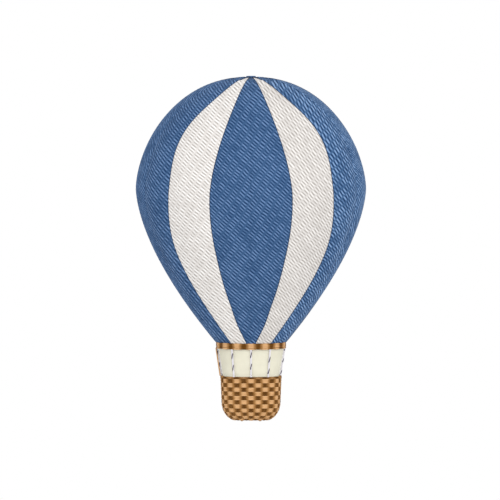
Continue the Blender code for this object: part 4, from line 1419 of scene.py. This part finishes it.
# %% The stitch tree
def stitch_tree():
    sizes = [("Pitch", "NodeSocketFloat"), ("Size", "NodeSocketFloat")]
    tree, start, end = new_tree("stitch", [*sizes, ("Material", "NodeSocketMaterial")])
    line = node_in(tree, "GeometryNodeMeshToCurve")
    even = node_in(tree, "GeometryNodeResampleCurve", mode="LENGTH")
    along = node_in(tree, "GeometryNodeInputTangent")
    turn = node_in(tree, "FunctionNodeAlignRotationToVector", axis="X")
    bead = node_in(tree, "GeometryNodeMeshUVSphere")
    bead.inputs["Segments"].default_value = 6
    bead.inputs["Rings"].default_value = 4
    drawn_out = node_in(tree, "GeometryNodeTransform")
    drawn_out.inputs["Scale"].default_value = (3.2, 1.0, 0.8)
    copies = node_in(tree, "GeometryNodeInstanceOnPoints")
    tree.links.new(start.outputs["Geometry"], line.inputs["Mesh"])
    tree.links.new(line.outputs["Curve"], even.inputs["Curve"])
    tree.links.new(start.outputs["Pitch"], even.inputs["Length"])
    tree.links.new(even.outputs["Curve"], copies.inputs["Points"])
    tree.links.new(bead.outputs["Mesh"], drawn_out.inputs["Geometry"])
    tree.links.new(drawn_out.outputs["Geometry"], copies.inputs["Instance"])
    tree.links.new(along.outputs["Tangent"], turn.inputs["Vector"])
    tree.links.new(turn.outputs["Rotation"], copies.inputs["Rotation"])
    tree.links.new(start.outputs["Size"], copies.inputs["Scale"])
    finish_tree(tree, start, end, copies.outputs["Instances"])
    return tree


STITCH = stitch_tree()

# %% Stitching on the scoop
STITCH_PITCH = 0.021
STITCH_SIZE = 0.0022
STITCH_LIFT = 0.0005
SEAM_HALF = 0.8
EDGE_SEAM = 1.2
hem_thread = strand_paint("hem_thread", (0.50, 0.47, 0.36), (0.66, 0.63, 0.50))


def sewn(angles, shares):
    """A line of thread on the scoop, level at one share of the way down or downwards at one angle."""
    spots = np.broadcast(angles, shares)
    return [scoop_point(angle, share, STITCH_LIFT) for angle, share in spots], False, {"along": 0.0}


round_angles = np.linspace(EDGE_SEAM - SCOOP_REACH, SCOOP_REACH - EDGE_SEAM, 200)
down_shares = np.linspace(0.03, 0.97, 30)
lines = [sewn(round_angles, share) for share in (0.75 * HEM, 1 - 0.75 * HEM)]
for angle in stops:
    beside = (-SEAM_HALF, SEAM_HALF) if abs(angle) < SCOOP_REACH else (-EDGE_SEAM * np.sign(angle),)
    lines += [sewn(angle + shift, down_shares) for shift in beside]
thread = {"pitch": STITCH_PITCH, "size": STITCH_SIZE, "material": hem_thread}
stitches = grown("scoop_stitches", drawn(lines), STITCH, "balloon", "cream_cloth", **thread)
print("the scoop's stitching has", len(stitches.data.polygons), "faces")

# %% [markdown]
# ## Metal, wood and sleeve paints
# Brushed metal is dark and light scratches that all run one way: a noise whose scale is small along the
# scratches and large across them. Cast brass has the same grain every way. Near the flame stainless steel is
# coloured by the heat, straw first, then violet and blue. Wood is made like metal, with the noise drawn out
# into long lines. Sleeves and webbing are dull black with fine level ridges, worn in places.

# %% Metal
def brushed_metal(name, low, high, grain, roughness=0.30):
    """Metal with fine scratches; the grain is how often they change along x, y and z."""
    paint = Paint(name, Metallic=1.0)
    scratch = paint.noise(paint.place(scale=grain), 1.0, detail=3.0)
    stain = paint.noise(paint.place(), 7.0, detail=3.0)
    paint.set(Base_Color=paint.blend((scratch * 0.6 + stain * 0.4).step(0.35, 0.65), low, high))
    paint.set(Roughness=stain * 0.3 + (roughness - 0.12))
    paint.bump(scratch, 0.0008, 0.4)
    return paint.made


def heated_steel(name, cold, hot):
    """Steel that the flame has coloured, from bare at the height cold to blue at the height hot."""
    paint = Paint(name, Metallic=1.0)
    scratch = paint.noise(paint.place(scale=(9, 9, 260)), 1.0, detail=3.0)
    stain = paint.noise(paint.place(), 11.0, detail=3.0)
    height = paint.parts(paint.place())[2]
    heat = (height - cold) / (hot - cold) + (stain - 0.5) * 0.35
    color = (0.50, 0.49, 0.47)
    for start, tint in ((0.25, (0.50, 0.39, 0.24)), (0.52, (0.33, 0.22, 0.24)), (0.76, (0.17, 0.20, 0.30))):
        color = paint.blend(heat.step(start, start + 0.24), color, tint)
    paint.set(Base_Color=color, Roughness=scratch * 0.25 + 0.18)
    paint.bump(scratch, 0.0008, 0.3)
    return paint.made


bright_alloy = brushed_metal("bright_alloy", (0.52, 0.53, 0.55), (0.74, 0.75, 0.76), (5, 5, 300))
frame_alloy = brushed_metal("frame_alloy", (0.46, 0.47, 0.49), (0.68, 0.69, 0.70), (30, 30, 300))
blue_alloy = brushed_metal("blue_alloy", (0.045, 0.105, 0.235), (0.095, 0.19, 0.37), (40, 40, 200))
steel = brushed_metal("brushed_steel", (0.36, 0.36, 0.36), (0.58, 0.58, 0.57), (200, 200, 8))
brass = brushed_metal("brass", (0.52, 0.34, 0.11), (0.78, 0.55, 0.22), (90, 90, 90), roughness=0.26)
print("metals:", ", ".join(metal.name for metal in (bright_alloy, frame_alloy, blue_alloy, steel, brass)))


# %% Wood, sleeves and webbing
def wood_paint(name, dark, light, grain):
    """Planed wood; the grain is small along the board."""
    paint = Paint(name, Roughness=0.5)
    growth = paint.noise(paint.place(scale=grain), 1.0, detail=3.0, roughness=0.6)
    pores = paint.noise(paint.place(scale=grain), 14.0, detail=1.0)
    tone = (growth * 34.0).math("SINE") * 0.28 + pores * 0.5 + 0.25
    paint.set(Base_Color=paint.blend(tone.step(0.15, 0.85), dark, light))
    paint.bump(tone, 0.0012, 0.4)
    return paint.made


def woven_black(name, low, high, weft):
    """Dull black cloth or webbing; the weft is the number of its ridges on a metre of height."""
    paint = Paint(name, Roughness=0.75)
    fuzz = paint.noise(paint.place(), 130.0, detail=2.0)
    wear = paint.noise(paint.place(), 6.0, detail=3.0)
    ridge = (paint.parts(paint.place())[2] * (2 * pi * weft)).math("SINE") * 0.5 + 0.5
    # The ridges are bumped and painted with shade in their troughs; the wear noise lightens worn patches.
    paint.set(Base_Color=paint.blend((ridge * 0.4 + fuzz * 0.3 + wear * 0.5).step(0.35, 0.85), low, high))
    paint.bump(ridge, 0.0006, 0.5)
    return paint.made


deck_ply = wood_paint("deck_ply", (0.30, 0.165, 0.07), (0.50, 0.32, 0.16), (1.0, 11, 11))
hardwood = wood_paint("hardwood", (0.16, 0.075, 0.028), (0.31, 0.17, 0.075), (14, 1.2, 14))
sleeve_black = woven_black("sleeve_black", (0.012, 0.012, 0.014), (0.060, 0.060, 0.066), 260)
webbing = woven_black("webbing", (0.014, 0.016, 0.022), (0.070, 0.076, 0.090), 420)
print("woods and blacks:", ", ".join(made.name for made in (deck_ply, hardwood, sleeve_black, webbing)))

# %% [markdown]
# ## Rounded edges
# No real edge is perfectly sharp, and a rounded one catches a thin line of light. The frame's solids are
# made of loose triangles, so a copy is merged, its flat faces are put together again and its edges are
# bevelled.


# %% A solid with rounded edges
FINE_WELD = 0.00005


def rounded(node, name, paint, body, slot, width=0.003):
    bm = bmesh.new()
    bm.from_mesh(nodes[node].data)
    bmesh.ops.remove_doubles(bm, verts=bm.verts, dist=FINE_WELD)
    bmesh.ops.dissolve_limit(bm, angle_limit=radians(1), verts=bm.verts, edges=bm.edges)
    piece = to_piece(name, bm, paint, body, slot)
    edge = piece.modifiers.new("edge", "BEVEL")
    edge.width = width
    edge.segments = 2
    edge.limit_method = "ANGLE"
    edge.angle_limit = radians(50)
    edge.harden_normals = True
    applied(piece)
    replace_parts(piece, node)
    return piece


for hand in ("left", "right"):
    rounded("floor_bearer_" + hand, f"bearer_{hand}_board", hardwood, "balloon", "wood")
    nodes["runner_" + hand].material_slots[0].material = hardwood
nodes["floor_deck"].material_slots[0].material = deck_ply
frame_tube = rounded("burner_frame", "burner_frame_tube", frame_alloy, "balloon", "alloy", 0.004)
rounded("burner_base", "burner_bar", steel, "burner", "steel", 0.002)
print("the frame's tube has", len(frame_tube.data.polygons), "faces")

# %% [markdown]
# ## Bolts
# The same bolt is used in many places, so a Geometry Nodes tree puts it there: a washer and a six-sided head
# on every point, turned to face the way that the point's own arrow says.

# %% The bolt tree
def bolt_tree():
    tree, start, end = new_tree("bolt", [("Size", "NodeSocketFloat"), ("Material", "NodeSocketMaterial")])
    facing = node_in(tree, "GeometryNodeInputNamedAttribute", data_type="FLOAT_VECTOR")
    facing.inputs["Name"].default_value = "facing"
    turn = node_in(tree, "FunctionNodeAlignRotationToVector", axis="Z")
    whole = node_in(tree, "GeometryNodeJoinGeometry")
    for corners, radius, depth, rise in ((24, 0.95, 0.16, 0.08), (6, 0.75, 0.55, 0.40)):
        part = node_in(tree, "GeometryNodeMeshCylinder")
        part.inputs["Vertices"].default_value = corners
        part.inputs["Radius"].default_value = radius
        part.inputs["Depth"].default_value = depth
        shift = node_in(tree, "GeometryNodeTransform")
        shift.inputs["Translation"].default_value = (0, 0, rise)
        tree.links.new(part.outputs["Mesh"], shift.inputs["Geometry"])
        tree.links.new(shift.outputs["Geometry"], whole.inputs["Geometry"])
    copies = node_in(tree, "GeometryNodeInstanceOnPoints")
    tree.links.new(start.outputs["Geometry"], copies.inputs["Points"])
    tree.links.new(whole.outputs["Geometry"], copies.inputs["Instance"])
    tree.links.new(facing.outputs["Attribute"], turn.inputs["Vector"])
    tree.links.new(turn.outputs["Rotation"], copies.inputs["Rotation"])
    tree.links.new(start.outputs["Size"], copies.inputs["Scale"])
    finish_tree(tree, start, end, copies.outputs["Instances"], smooth_faces=False)
    return tree


BOLT = bolt_tree()


def bolted(name, spots, size, paint, body, slot):
    """A bolt of that half width on each spot, which is a point and the way that the bolt faces."""
    bm = bmesh.new()
    arrows = bm.verts.layers.float_vector.new("facing")
    for point, facing in spots:
        bm.verts.new(point)[arrows] = facing
    return grown(name, bm, BOLT, body, slot, size=size, material=paint)


# %% Where the bolts go
UP = (0, 0, 1)
frame_low, frame_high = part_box("burner_frame")
frame_middle = (frame_low[2] + frame_high[2]) / 2
FRAME_HALF = 0.70
FRAME_TUBE = 0.05
BEARING_MIDDLE = 0.645
BEARING_BOLT = 0.021
FRAME_BOLT = 0.012
DECK_SCREW = 0.011
top = frame_middle + FRAME_TUBE / 2
corners = [(x, y) for x in (-FRAME_HALF, FRAME_HALF) for y in (-FRAME_HALF, FRAME_HALF)]
spots = [((x, y, top), UP) for x, y in corners]
bearings = [(x, y) for x in (-BEARING_MIDDLE, BEARING_MIDDLE) for y in (-BEARING_BOLT, BEARING_BOLT)]
spots += [((x, y, frame_high[2]), UP) for x, y in bearings]
bolted("burner_frame_bolts", spots, FRAME_BOLT, steel, "balloon", "steel")

deck_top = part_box("floor_deck")[1][2]
bearer_middle = float(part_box("floor_bearer_right")[0][0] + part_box("floor_bearer_right")[1][0]) / 2
spots = [((x, y, deck_top), UP) for x in (-bearer_middle, bearer_middle) for y in np.linspace(-0.9, 0.9, 9)]
bolted("deck_screws", spots, DECK_SCREW, steel, "balloon", "steel")
print("screws in the deck:", len(spots))

# %% [markdown]
# ## Crown ring and gimbal
# The crown ring, anodised blue, and the gimbal ring are bent from round tube, so the sweep tree draws them
# too. Welded bosses carry the gimbal's four pins: two turn in the frame's bearings and two carry the
# burner's bar.

# %% Rings and pins
def hoop_line(radius, height, middle=(0, 0), count=96):
    """A level circle for the sweep tree."""
    turn = np.arange(count) / count * 2 * pi
    x = middle[0] + radius * np.sin(turn)
    y = middle[1] - radius * np.cos(turn)
    return np.stack([x, y, height + 0 * turn], axis=1), True, {"along": turn * radius}


def straight(start, stop):
    return (start, stop), False, {"along": [0, (Vector(stop) - Vector(start)).length]}


low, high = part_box("crown_ring")
tube = float(high[2] - low[2]) / 2
line = hoop_line(float(high[0]) - tube, float(high[2]) - tube)
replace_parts(swept("crown_ring_tube", [line], tube, tube, blue_alloy, "balloon", "alloy", 16), "crown_ring")

GIMBAL_RADIUS = 0.50
GIMBAL_TUBE = 0.018
PIN_RADIUS = 0.012
PIN_ENDS = 0.66, 0.355
BOSS_RADIUS = 0.023
BOSS_HALF = 0.028
line = hoop_line(GIMBAL_RADIUS, frame_middle)
gimbal = swept("gimbal_tube", [line], GIMBAL_TUBE, GIMBAL_TUBE, steel, "gimbal", "steel", 16)
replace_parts(gimbal, "gimbal_ring")
pins, bosses = [], []
middle = Vector((0, 0, frame_middle))
for side in (-1, 1):
    for axis, end in zip((Vector((side, 0, 0)), Vector((0, side, 0))), PIN_ENDS):
        pins.append(straight(middle + axis * GIMBAL_RADIUS, middle + axis * end))
        reach = GIMBAL_RADIUS - BOSS_HALF, GIMBAL_RADIUS + BOSS_HALF
        bosses.append(straight(*(middle + axis * out for out in reach)))
swept("gimbal_pins", pins, PIN_RADIUS, PIN_RADIUS, bright_alloy, "gimbal", "steel", 20)
swept("gimbal_bosses", bosses, BOSS_RADIUS, BOSS_RADIUS, steel, "gimbal", "steel", 20)
print("the gimbal ring is", 2 * GIMBAL_RADIUS, "m wide")

# %% [markdown]
# ## The burner's cans
# Each can is a spun steel cup with a rolled lip. The fuel rises outside in a coil of tube, boils in the
# flame's heat, and comes down inside to a ring of jets around the pilot light. What is spun or turned on a
# lathe is made the same way here: its profile is written down once and taken round an upright axis.

# %% Turned shapes
def turned(profile, middle, steps=64):
    """A profile of radii and heights turned round an upright axis."""
    bm = bmesh.new()
    revolved(bm, profile, np.arange(steps) / steps * 2 * pi, middle)
    bmesh.ops.remove_doubles(bm, verts=bm.verts, dist=FINE_WELD)
    bmesh.ops.recalc_face_normals(bm, faces=bm.faces)
    return bm


def stands_at(node):
    """The middle of a node seen from above, and its lowest and highest height."""
    low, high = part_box(node)
    return float(low[0] + high[0]) / 2, float(low[1] + high[1]) / 2, float(low[2]), float(high[2])


# %% The coil's line
COIL_RADIUS = 0.157
COIL_TUBE = 0.008
COIL_PITCH = 0.05
COIL_TURNS = 3
JET_RING = 0.085
DOWN_PIPE = 0.128
cold, hot = (float(corner[2]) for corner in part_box("burner_can_left"))
can_steel = heated_steel("can_steel", cold, hot)
coil_steel = heated_steel("coil_steel", cold - 0.05, hot + 0.06)
print("the cans reach from", round(cold, 3), "to", round(hot, 3), "m")


def coil(x, y, low, high):
    """A coil's line, from the jets up inside the can, down in turns outside it and into the plate."""
    inside = [(JET_RING, low + 0.035), (0.11, low + 0.045), (DOWN_PIPE, low + 0.07)]
    inside += [(DOWN_PIPE, high - 0.045), (0.134, high - 0.032), (0.145, high - 0.026)]
    outside = [(COIL_RADIUS, low + 0.02), (0.151, low + 0.004), (0.135, low - 0.008), (0.105, low - 0.010)]
    steps = np.linspace(0, 1, COIL_TURNS * 32 + 1)
    turns = 2 * pi * COIL_TURNS * steps
    heights = high - 0.025 - COIL_PITCH * COIL_TURNS * steps
    points = [(x, y - radius, height) for radius, height in inside]
    points += [on_circle(COIL_RADIUS, turn, height, (x, y)) for turn, height in zip(turns, heights)]
    points += [(x, y - radius, height) for radius, height in outside]
    return points, False, {"along": np.linspace(0, 4, len(points))}


# %% Cans, pilots and jets
CAN_RADIUS = 0.15
CAN_WALL = 0.005
JET_TUBE = 0.0065
JET_SIZE = 0.0075
JETS = 12

coils, jet_rings, jets = [], [], []
for hand in ("left", "right"):
    x, y, low, high = stands_at("burner_can_" + hand)
    inner = CAN_RADIUS - CAN_WALL
    profile = [
        (0, low),
        (CAN_RADIUS - 0.03, low),
        (CAN_RADIUS - 0.010, low + 0.018),
        (CAN_RADIUS, low + 0.05),
        (CAN_RADIUS, high - 0.010),
        (CAN_RADIUS + 0.004, high - 0.007),
        (CAN_RADIUS + 0.004, high - 0.002),
        (CAN_RADIUS + 0.001, high),
        (inner + 0.002, high - 0.001),
        (inner, high - 0.008),
        (inner, low + 0.052),
        (inner - 0.010, low + 0.022),
        (inner - 0.028, low + CAN_WALL),
        (0, low + CAN_WALL),
    ]
    can = to_piece(f"burner_{hand}_can", turned(profile, (x, y), 96), can_steel, "burner", "steel", sharp=50)
    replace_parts(can, "burner_can_" + hand)
    profile = [(0, low + 0.004), (0.022, low + 0.004), (0.022, low + 0.055), (0.018, low + 0.055)]
    profile += [(0.018, low + 0.02), (0, low + 0.02)]
    to_piece(f"burner_{hand}_pilot", turned(profile, (x, y), 32), brass, "burner", "steel", sharp=50)
    coils.append(coil(x, y, low, high))
    jet_rings.append(hoop_line(JET_RING, low + 0.035, (x, y), 48))
    ways = [2 * pi * (step + 0.5) / JETS for step in range(JETS)]
    jets += [(on_circle(JET_RING, turn, low + 0.041, (x, y)), UP) for turn in ways]
swept("burner_coils", coils, COIL_TUBE, COIL_TUBE, coil_steel, "burner", "steel", 12)
swept("burner_jet_rings", jet_rings, JET_TUBE, JET_TUBE, brass, "burner", "steel", 10)
bolted("burner_jets", jets, JET_SIZE, brass, "burner", "steel")
print("a can stands", round(high - low, 3), "m high")

# %% [markdown]
# ## Fittings on the burner's bar
# Each can has a blast lever with a ridged grip, and a brass inlet under the bar for its fuel. The levers
# came with the bar's solid, so only the grips are drawn over them, as a row of short thick rings.

# %% Grips, inlets and bolts
LEVER_X = 0.17
LEVER_FRONT = -0.17
LEVER_HEIGHT = frame_middle - 0.102
GRIP_RIDGES = 9
RIDGE_PITCH = 0.011
RIDGE_WIDTH = 0.0085
INLET_X = 0.13
INLET_Y = 0.045
BURNER_BOLT = 0.010
PLATE_BOLT_X = 0.29
PLATE_BOLT_Y = 0.09
BAR_BOLT_Y = 0.365
under = frame_middle - 0.11
nut = [(0, under + 0.002), (0.017, under + 0.002), (0.017, under - 0.014), (0, under - 0.014)]
tail = [(0, under), (0.010, under), (0.010, under - 0.030), (0.0065, under - 0.030)]
tail += [(0.0065, under - 0.018), (0, under - 0.018)]
grips, nipples = [], []
for side in (-1, 1):
    x = side * LEVER_X
    for place in range(GRIP_RIDGES):
        y = LEVER_FRONT + 0.004 + RIDGE_PITCH * place
        grips.append(straight((x, y, LEVER_HEIGHT), (x, y + RIDGE_WIDTH, LEVER_HEIGHT)))
    middle = side * INLET_X, INLET_Y
    nipples += [turned(nut, middle, 6), turned(tail, middle, 24)]
swept("blast_lever_grips", grips, 0.0145, 0.0195, sleeve_black, "burner", "black", 14)
to_piece("burner_inlets", joined(nipples), brass, "burner", "steel", sharp=40)
plate_top = cold - 0.0003
plate_bolts = [(x, y) for x in (-PLATE_BOLT_X, PLATE_BOLT_X) for y in (-PLATE_BOLT_Y, PLATE_BOLT_Y)]
spots = [((x, y, plate_top), UP) for x, y in plate_bolts]
spots += [((0, y, frame_middle + 0.025), UP) for y in (-BAR_BOLT_Y, BAR_BOLT_Y)]
bolted("burner_bolts", spots, BURNER_BOLT, bright_alloy, "burner", "steel")
print("bolts on the burner:", len(spots))

# %% [markdown]
# ## Uprights
# Four rods hold the burner frame above the basket. They are covered by padded black sleeves, which are laced
# along their inner side and wrinkle a little under their own weight, and end in a metal ferrule. Such level
# wrinkles are the same all round, so a sleeve can be turned like the cans, from a profile with small waves.

# %% Sleeves, lacing and ferrules
SLEEVE = 0.0238
LACE_RADIUS = 0.0016
LACE_HALF = 0.006
CORNERS = [f"{end}_{hand}" for end in ("front", "back") for hand in ("left", "right")]


def lace(x, y, low, high):
    """A cord that zigzags up the inner side of a sleeve."""
    inwards = Vector((-x, -y, 0)).normalized()
    sideways = Vector((-inwards.y, inwards.x, 0))
    points = []
    for step, height in enumerate(np.linspace(low + 0.03, high - 0.07, 90)):
        reach = inwards * (SLEEVE - 0.0004) + sideways * (LACE_HALF if step % 2 else -LACE_HALF)
        points.append(Vector((x, y, height)) + reach)
    return points, False, {"along": np.linspace(0, 2, len(points))}


ferrules, laces = [], []
for corner in CORNERS:
    x, y, low, high = stands_at("upright_" + corner)
    heights = np.linspace(low + 0.006, high - 0.052, 150)
    wrinkle = 0.0007 * np.sin(heights * 61 + x * 9) + 0.0006 * np.sin(heights * 143 + y * 5)
    profile = [(0, low), (SLEEVE - 0.004, low)]
    profile += [(float(SLEEVE - 0.0015 + fold), float(height)) for height, fold in zip(heights, wrinkle)]
    profile += [(SLEEVE - 0.005, high - 0.046), (0, high - 0.046)]
    sleeve = to_piece("sleeve_" + corner, turned(profile, (x, y), 24), sleeve_black, "balloon", "black")
    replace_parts(sleeve, "upright_" + corner)
    profile = [(0, high - 0.05), (0.027, high - 0.05), (0.029, high - 0.046), (0.029, high - 0.004)]
    profile += [(0.027, high), (0, high)]
    ferrules.append(turned(profile, (x, y), 32))
    laces.append(lace(x, y, low, high))
to_piece("upright_ferrules", joined(ferrules), frame_alloy, "balloon", "alloy", sharp=50)
swept("sleeve_lacing", laces, LACE_RADIUS, LACE_RADIUS, white_strand, "balloon", "rope", 5)
print("an upright stands", round(high - low, 3), "m high")

# %% [markdown]
# ## Fuel cylinders
# Each cylinder is pressed from two domed halves, welded round the middle, and stands on a foot ring. A guard
# with two hand holes keeps knocks off the brass valve. The body is turned. The holes could be cut with a
# Boolean, but leaving faces out of the ring's net before it gets its wall is cleaner.

# %% Bodies and guards
CYLINDER_RADIUS = 0.15
CYLINDER_DOME = 0.06
GUARD_RADIUS = 0.115
GUARD_DROP = 0.105
GUARD_WALL = 0.006
GUARD_STEPS = 48
HOLE_SHARES = 0.2, 0.62
FOOT_RADIUS = 0.13
FOOT_HEIGHT = 0.06
BEAD = 0.0016


def cylinder_profile(low, high):
    """The outline of the pressed body from the middle of its lower dome to the middle of its upper one."""
    arc = np.linspace(0, pi / 2, 9)
    bottom, shoulder = low + 0.09, high - 0.15
    middle = (bottom + shoulder) / 2
    dome = [(CYLINDER_RADIUS * cos(t), CYLINDER_DOME * sin(t)) for t in arc]
    bead = [(0, -0.009), (BEAD, -0.005), (BEAD, 0.005), (0, 0.009)]
    lower = [(r, bottom - rise) for r, rise in dome[::-1]]
    weld = [(CYLINDER_RADIUS + out, middle + up) for out, up in bead]
    return [*lower, *weld, *[(r, shoulder + rise) for r, rise in dome]]


def guard(middle, radius, high, low, openings):
    """A thin ring with long openings in its middle, as rows from the top down."""
    each = GUARD_STEPS // openings
    rows = [high, *(high - share * (high - low) for share in HOLE_SHARES), low]
    turns = (np.arange(GUARD_STEPS) + 0.5) / GUARD_STEPS * 2 * pi

    def opening(i, j):
        return i == 1 and each // 4 <= j % each < 3 * each // 4

    bm = bmesh.new()
    revolved(bm, [(radius, row) for row in rows], turns, middle, skip=opening)
    return bm


CYLINDERS = {"cylinder_" + corner: stands_at("fuel_cylinder_" + corner) for corner in CORNERS}

for name, (x, y, low, high) in CYLINDERS.items():
    body = turned(cylinder_profile(low, high), (x, y))
    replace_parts(to_piece(name + "_body", body, bright_alloy, "balloon", "alloy", sharp=60), "fuel_" + name)
    upper = guard((x, y), GUARD_RADIUS, high, high - GUARD_DROP, 2)
    foot = guard((x, y), FOOT_RADIUS, low + FOOT_HEIGHT, low, 4)
    rings = to_piece(name + "_guards", joined([upper, foot]), bright_alloy, "balloon", "alloy", smooth=False)
    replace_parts(walled(rings, GUARD_WALL), "fuel_" + name)
print("a cylinder stands", round(high - low, 3), "m high")

# %% [markdown]
# ## Valves and gauges
# The brass valve on top of a cylinder has an outlet for the hose, a gauge for the fuel's level and a
# handwheel. Stub and dial are round, so they are turned. The wheel could be a solid disc with holes, but one
# of bent wire is only a rim, a stem and three spokes, which are lines for the sweep tree.

# %% Valves, gauges and handwheels
STUB_RADIUS = 0.03
STUB_DROP = 0.03
GAUGE_Y = 0.064
WHEEL_X = 0.066
WHEEL_RADIUS = 0.021
WHEEL_WIRE = 0.0035

for name, (x, y, low, high) in CYLINDERS.items():
    side = 1 if x > 0 else -1
    neck = high - STUB_DROP
    stub = [(0, high - 0.095), (STUB_RADIUS, high - 0.095), (STUB_RADIUS, neck - 0.036)]
    stub += [(0.021, neck - 0.032), (0.021, neck - 0.020), (STUB_RADIUS, neck - 0.016)]
    stub += [(STUB_RADIUS, neck), (0.008, neck), (0.008, neck - 0.012), (0, neck - 0.012)]
    dial = [(0, neck - 0.026), (0.020, neck - 0.026), (0.022, neck - 0.023), (0.022, neck - 0.004)]
    dial += [(0.019, neck - 0.004), (0.019, neck - 0.008), (0, neck - 0.008)]
    brasswork = joined([turned(stub, (x, y), 32), turned(dial, (x, y + GAUGE_Y), 32)])
    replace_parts(to_piece(name + "_valve", brasswork, brass, "balloon", "steel", sharp=40), "fuel_" + name)
    hub = Vector((x - side * WHEEL_X, y, neck - 0.026))
    ways = [2 * pi * step / 24 for step in range(24)]
    rim = [hub + Vector((0, WHEEL_RADIUS * cos(turn), WHEEL_RADIUS * sin(turn))) for turn in ways]
    wheel = [(rim, True, {"along": 0.0}), straight(hub + Vector((side * 0.04, 0, 0)), hub)]
    wheel += [straight(hub, rim[step]) for step in (2, 10, 18)]
    wheel.append(straight((x, y + 0.02, neck - 0.026), (x, y + 0.045, neck - 0.020)))
    swept(name + "_wheel", wheel, WHEEL_WIRE, WHEEL_WIRE, frame_alloy, "balloon", "steel")
    needle = straight((x - 0.004, y + 0.058, neck - 0.0065), (x + 0.009, y + 0.074, neck - 0.0065))
    swept(name + "_needle", [needle], 0.0010, 0.0006, sleeve_black, "balloon", "black", 6)
print("a handwheel is", 2 * WHEEL_RADIUS, "m wide")

# %% [markdown]
# ## Straps
# Two straps of webbing run round the inner half of each cylinder and back into the basket's wall. A strap
# could be a bent sheet with a wall, but it is also a line with a wide and very thin section, which the sweep
# tree draws already. The buckles are bent from wire.

# %% Straps and buckles
STRAP_HEIGHTS = (0.20, 0.56)
STRAP_HALF = 0.024
STRAP_DEPTH = 0.002
STRAP_OUT = 0.154
BUCKLE_WIRE = 0.0032


def strap(x, y, height):
    """Round the inner half of a cylinder, with both ends let into the wall beside it."""
    side = 1 if x > 0 else -1
    wall = basket_half_width(height) - LINING_DEPTH
    arc = np.linspace(pi / 2, 3 * pi / 2, 25)
    points = [(x + side * STRAP_OUT * cos(t), y + STRAP_OUT * sin(t), height) for t in arc]
    for end, place in ((y + STRAP_OUT, 0), (y - STRAP_OUT, len(points) + 1)):
        reach = (wall**PLAN_POWER - abs(end) ** PLAN_POWER) ** (1 / PLAN_POWER)
        points.insert(place, (side * reach, end, height))
    return points, False, {"along": np.linspace(0, 1, len(points))}


def buckle(x, y, height):
    """A wire ladder buckle on the strap's inner face: a frame and a middle bar."""
    side = 1 if x > 0 else -1
    face = x - side * (STRAP_OUT + 0.004)
    wide, tall = 0.030, STRAP_HALF + 0.006
    frame_points = [(face, y + a * wide, height + b * tall) for a, b in ((-1, -1), (1, -1), (1, 1), (-1, 1))]
    bar = straight((face, y, height - tall), (face, y, height + tall))
    return [(frame_points, True, {"along": 0.0}), bar]


for name, (x, y, low, high) in CYLINDERS.items():
    heights = [low + share * (high - low) for share in STRAP_HEIGHTS]
    lines = [strap(x, y, height) for height in heights]
    swept(name + "_straps", lines, STRAP_HALF, STRAP_DEPTH, webbing, "balloon", "black")
    buckles = [line for height in heights for line in buckle(x, y, height)]
    swept(name + "_buckles", buckles, BUCKLE_WIRE, BUCKLE_WIRE, steel, "balloon", "steel", 6)
print("each strap is held", STRAP_OUT, "m from its cylinder's axis")
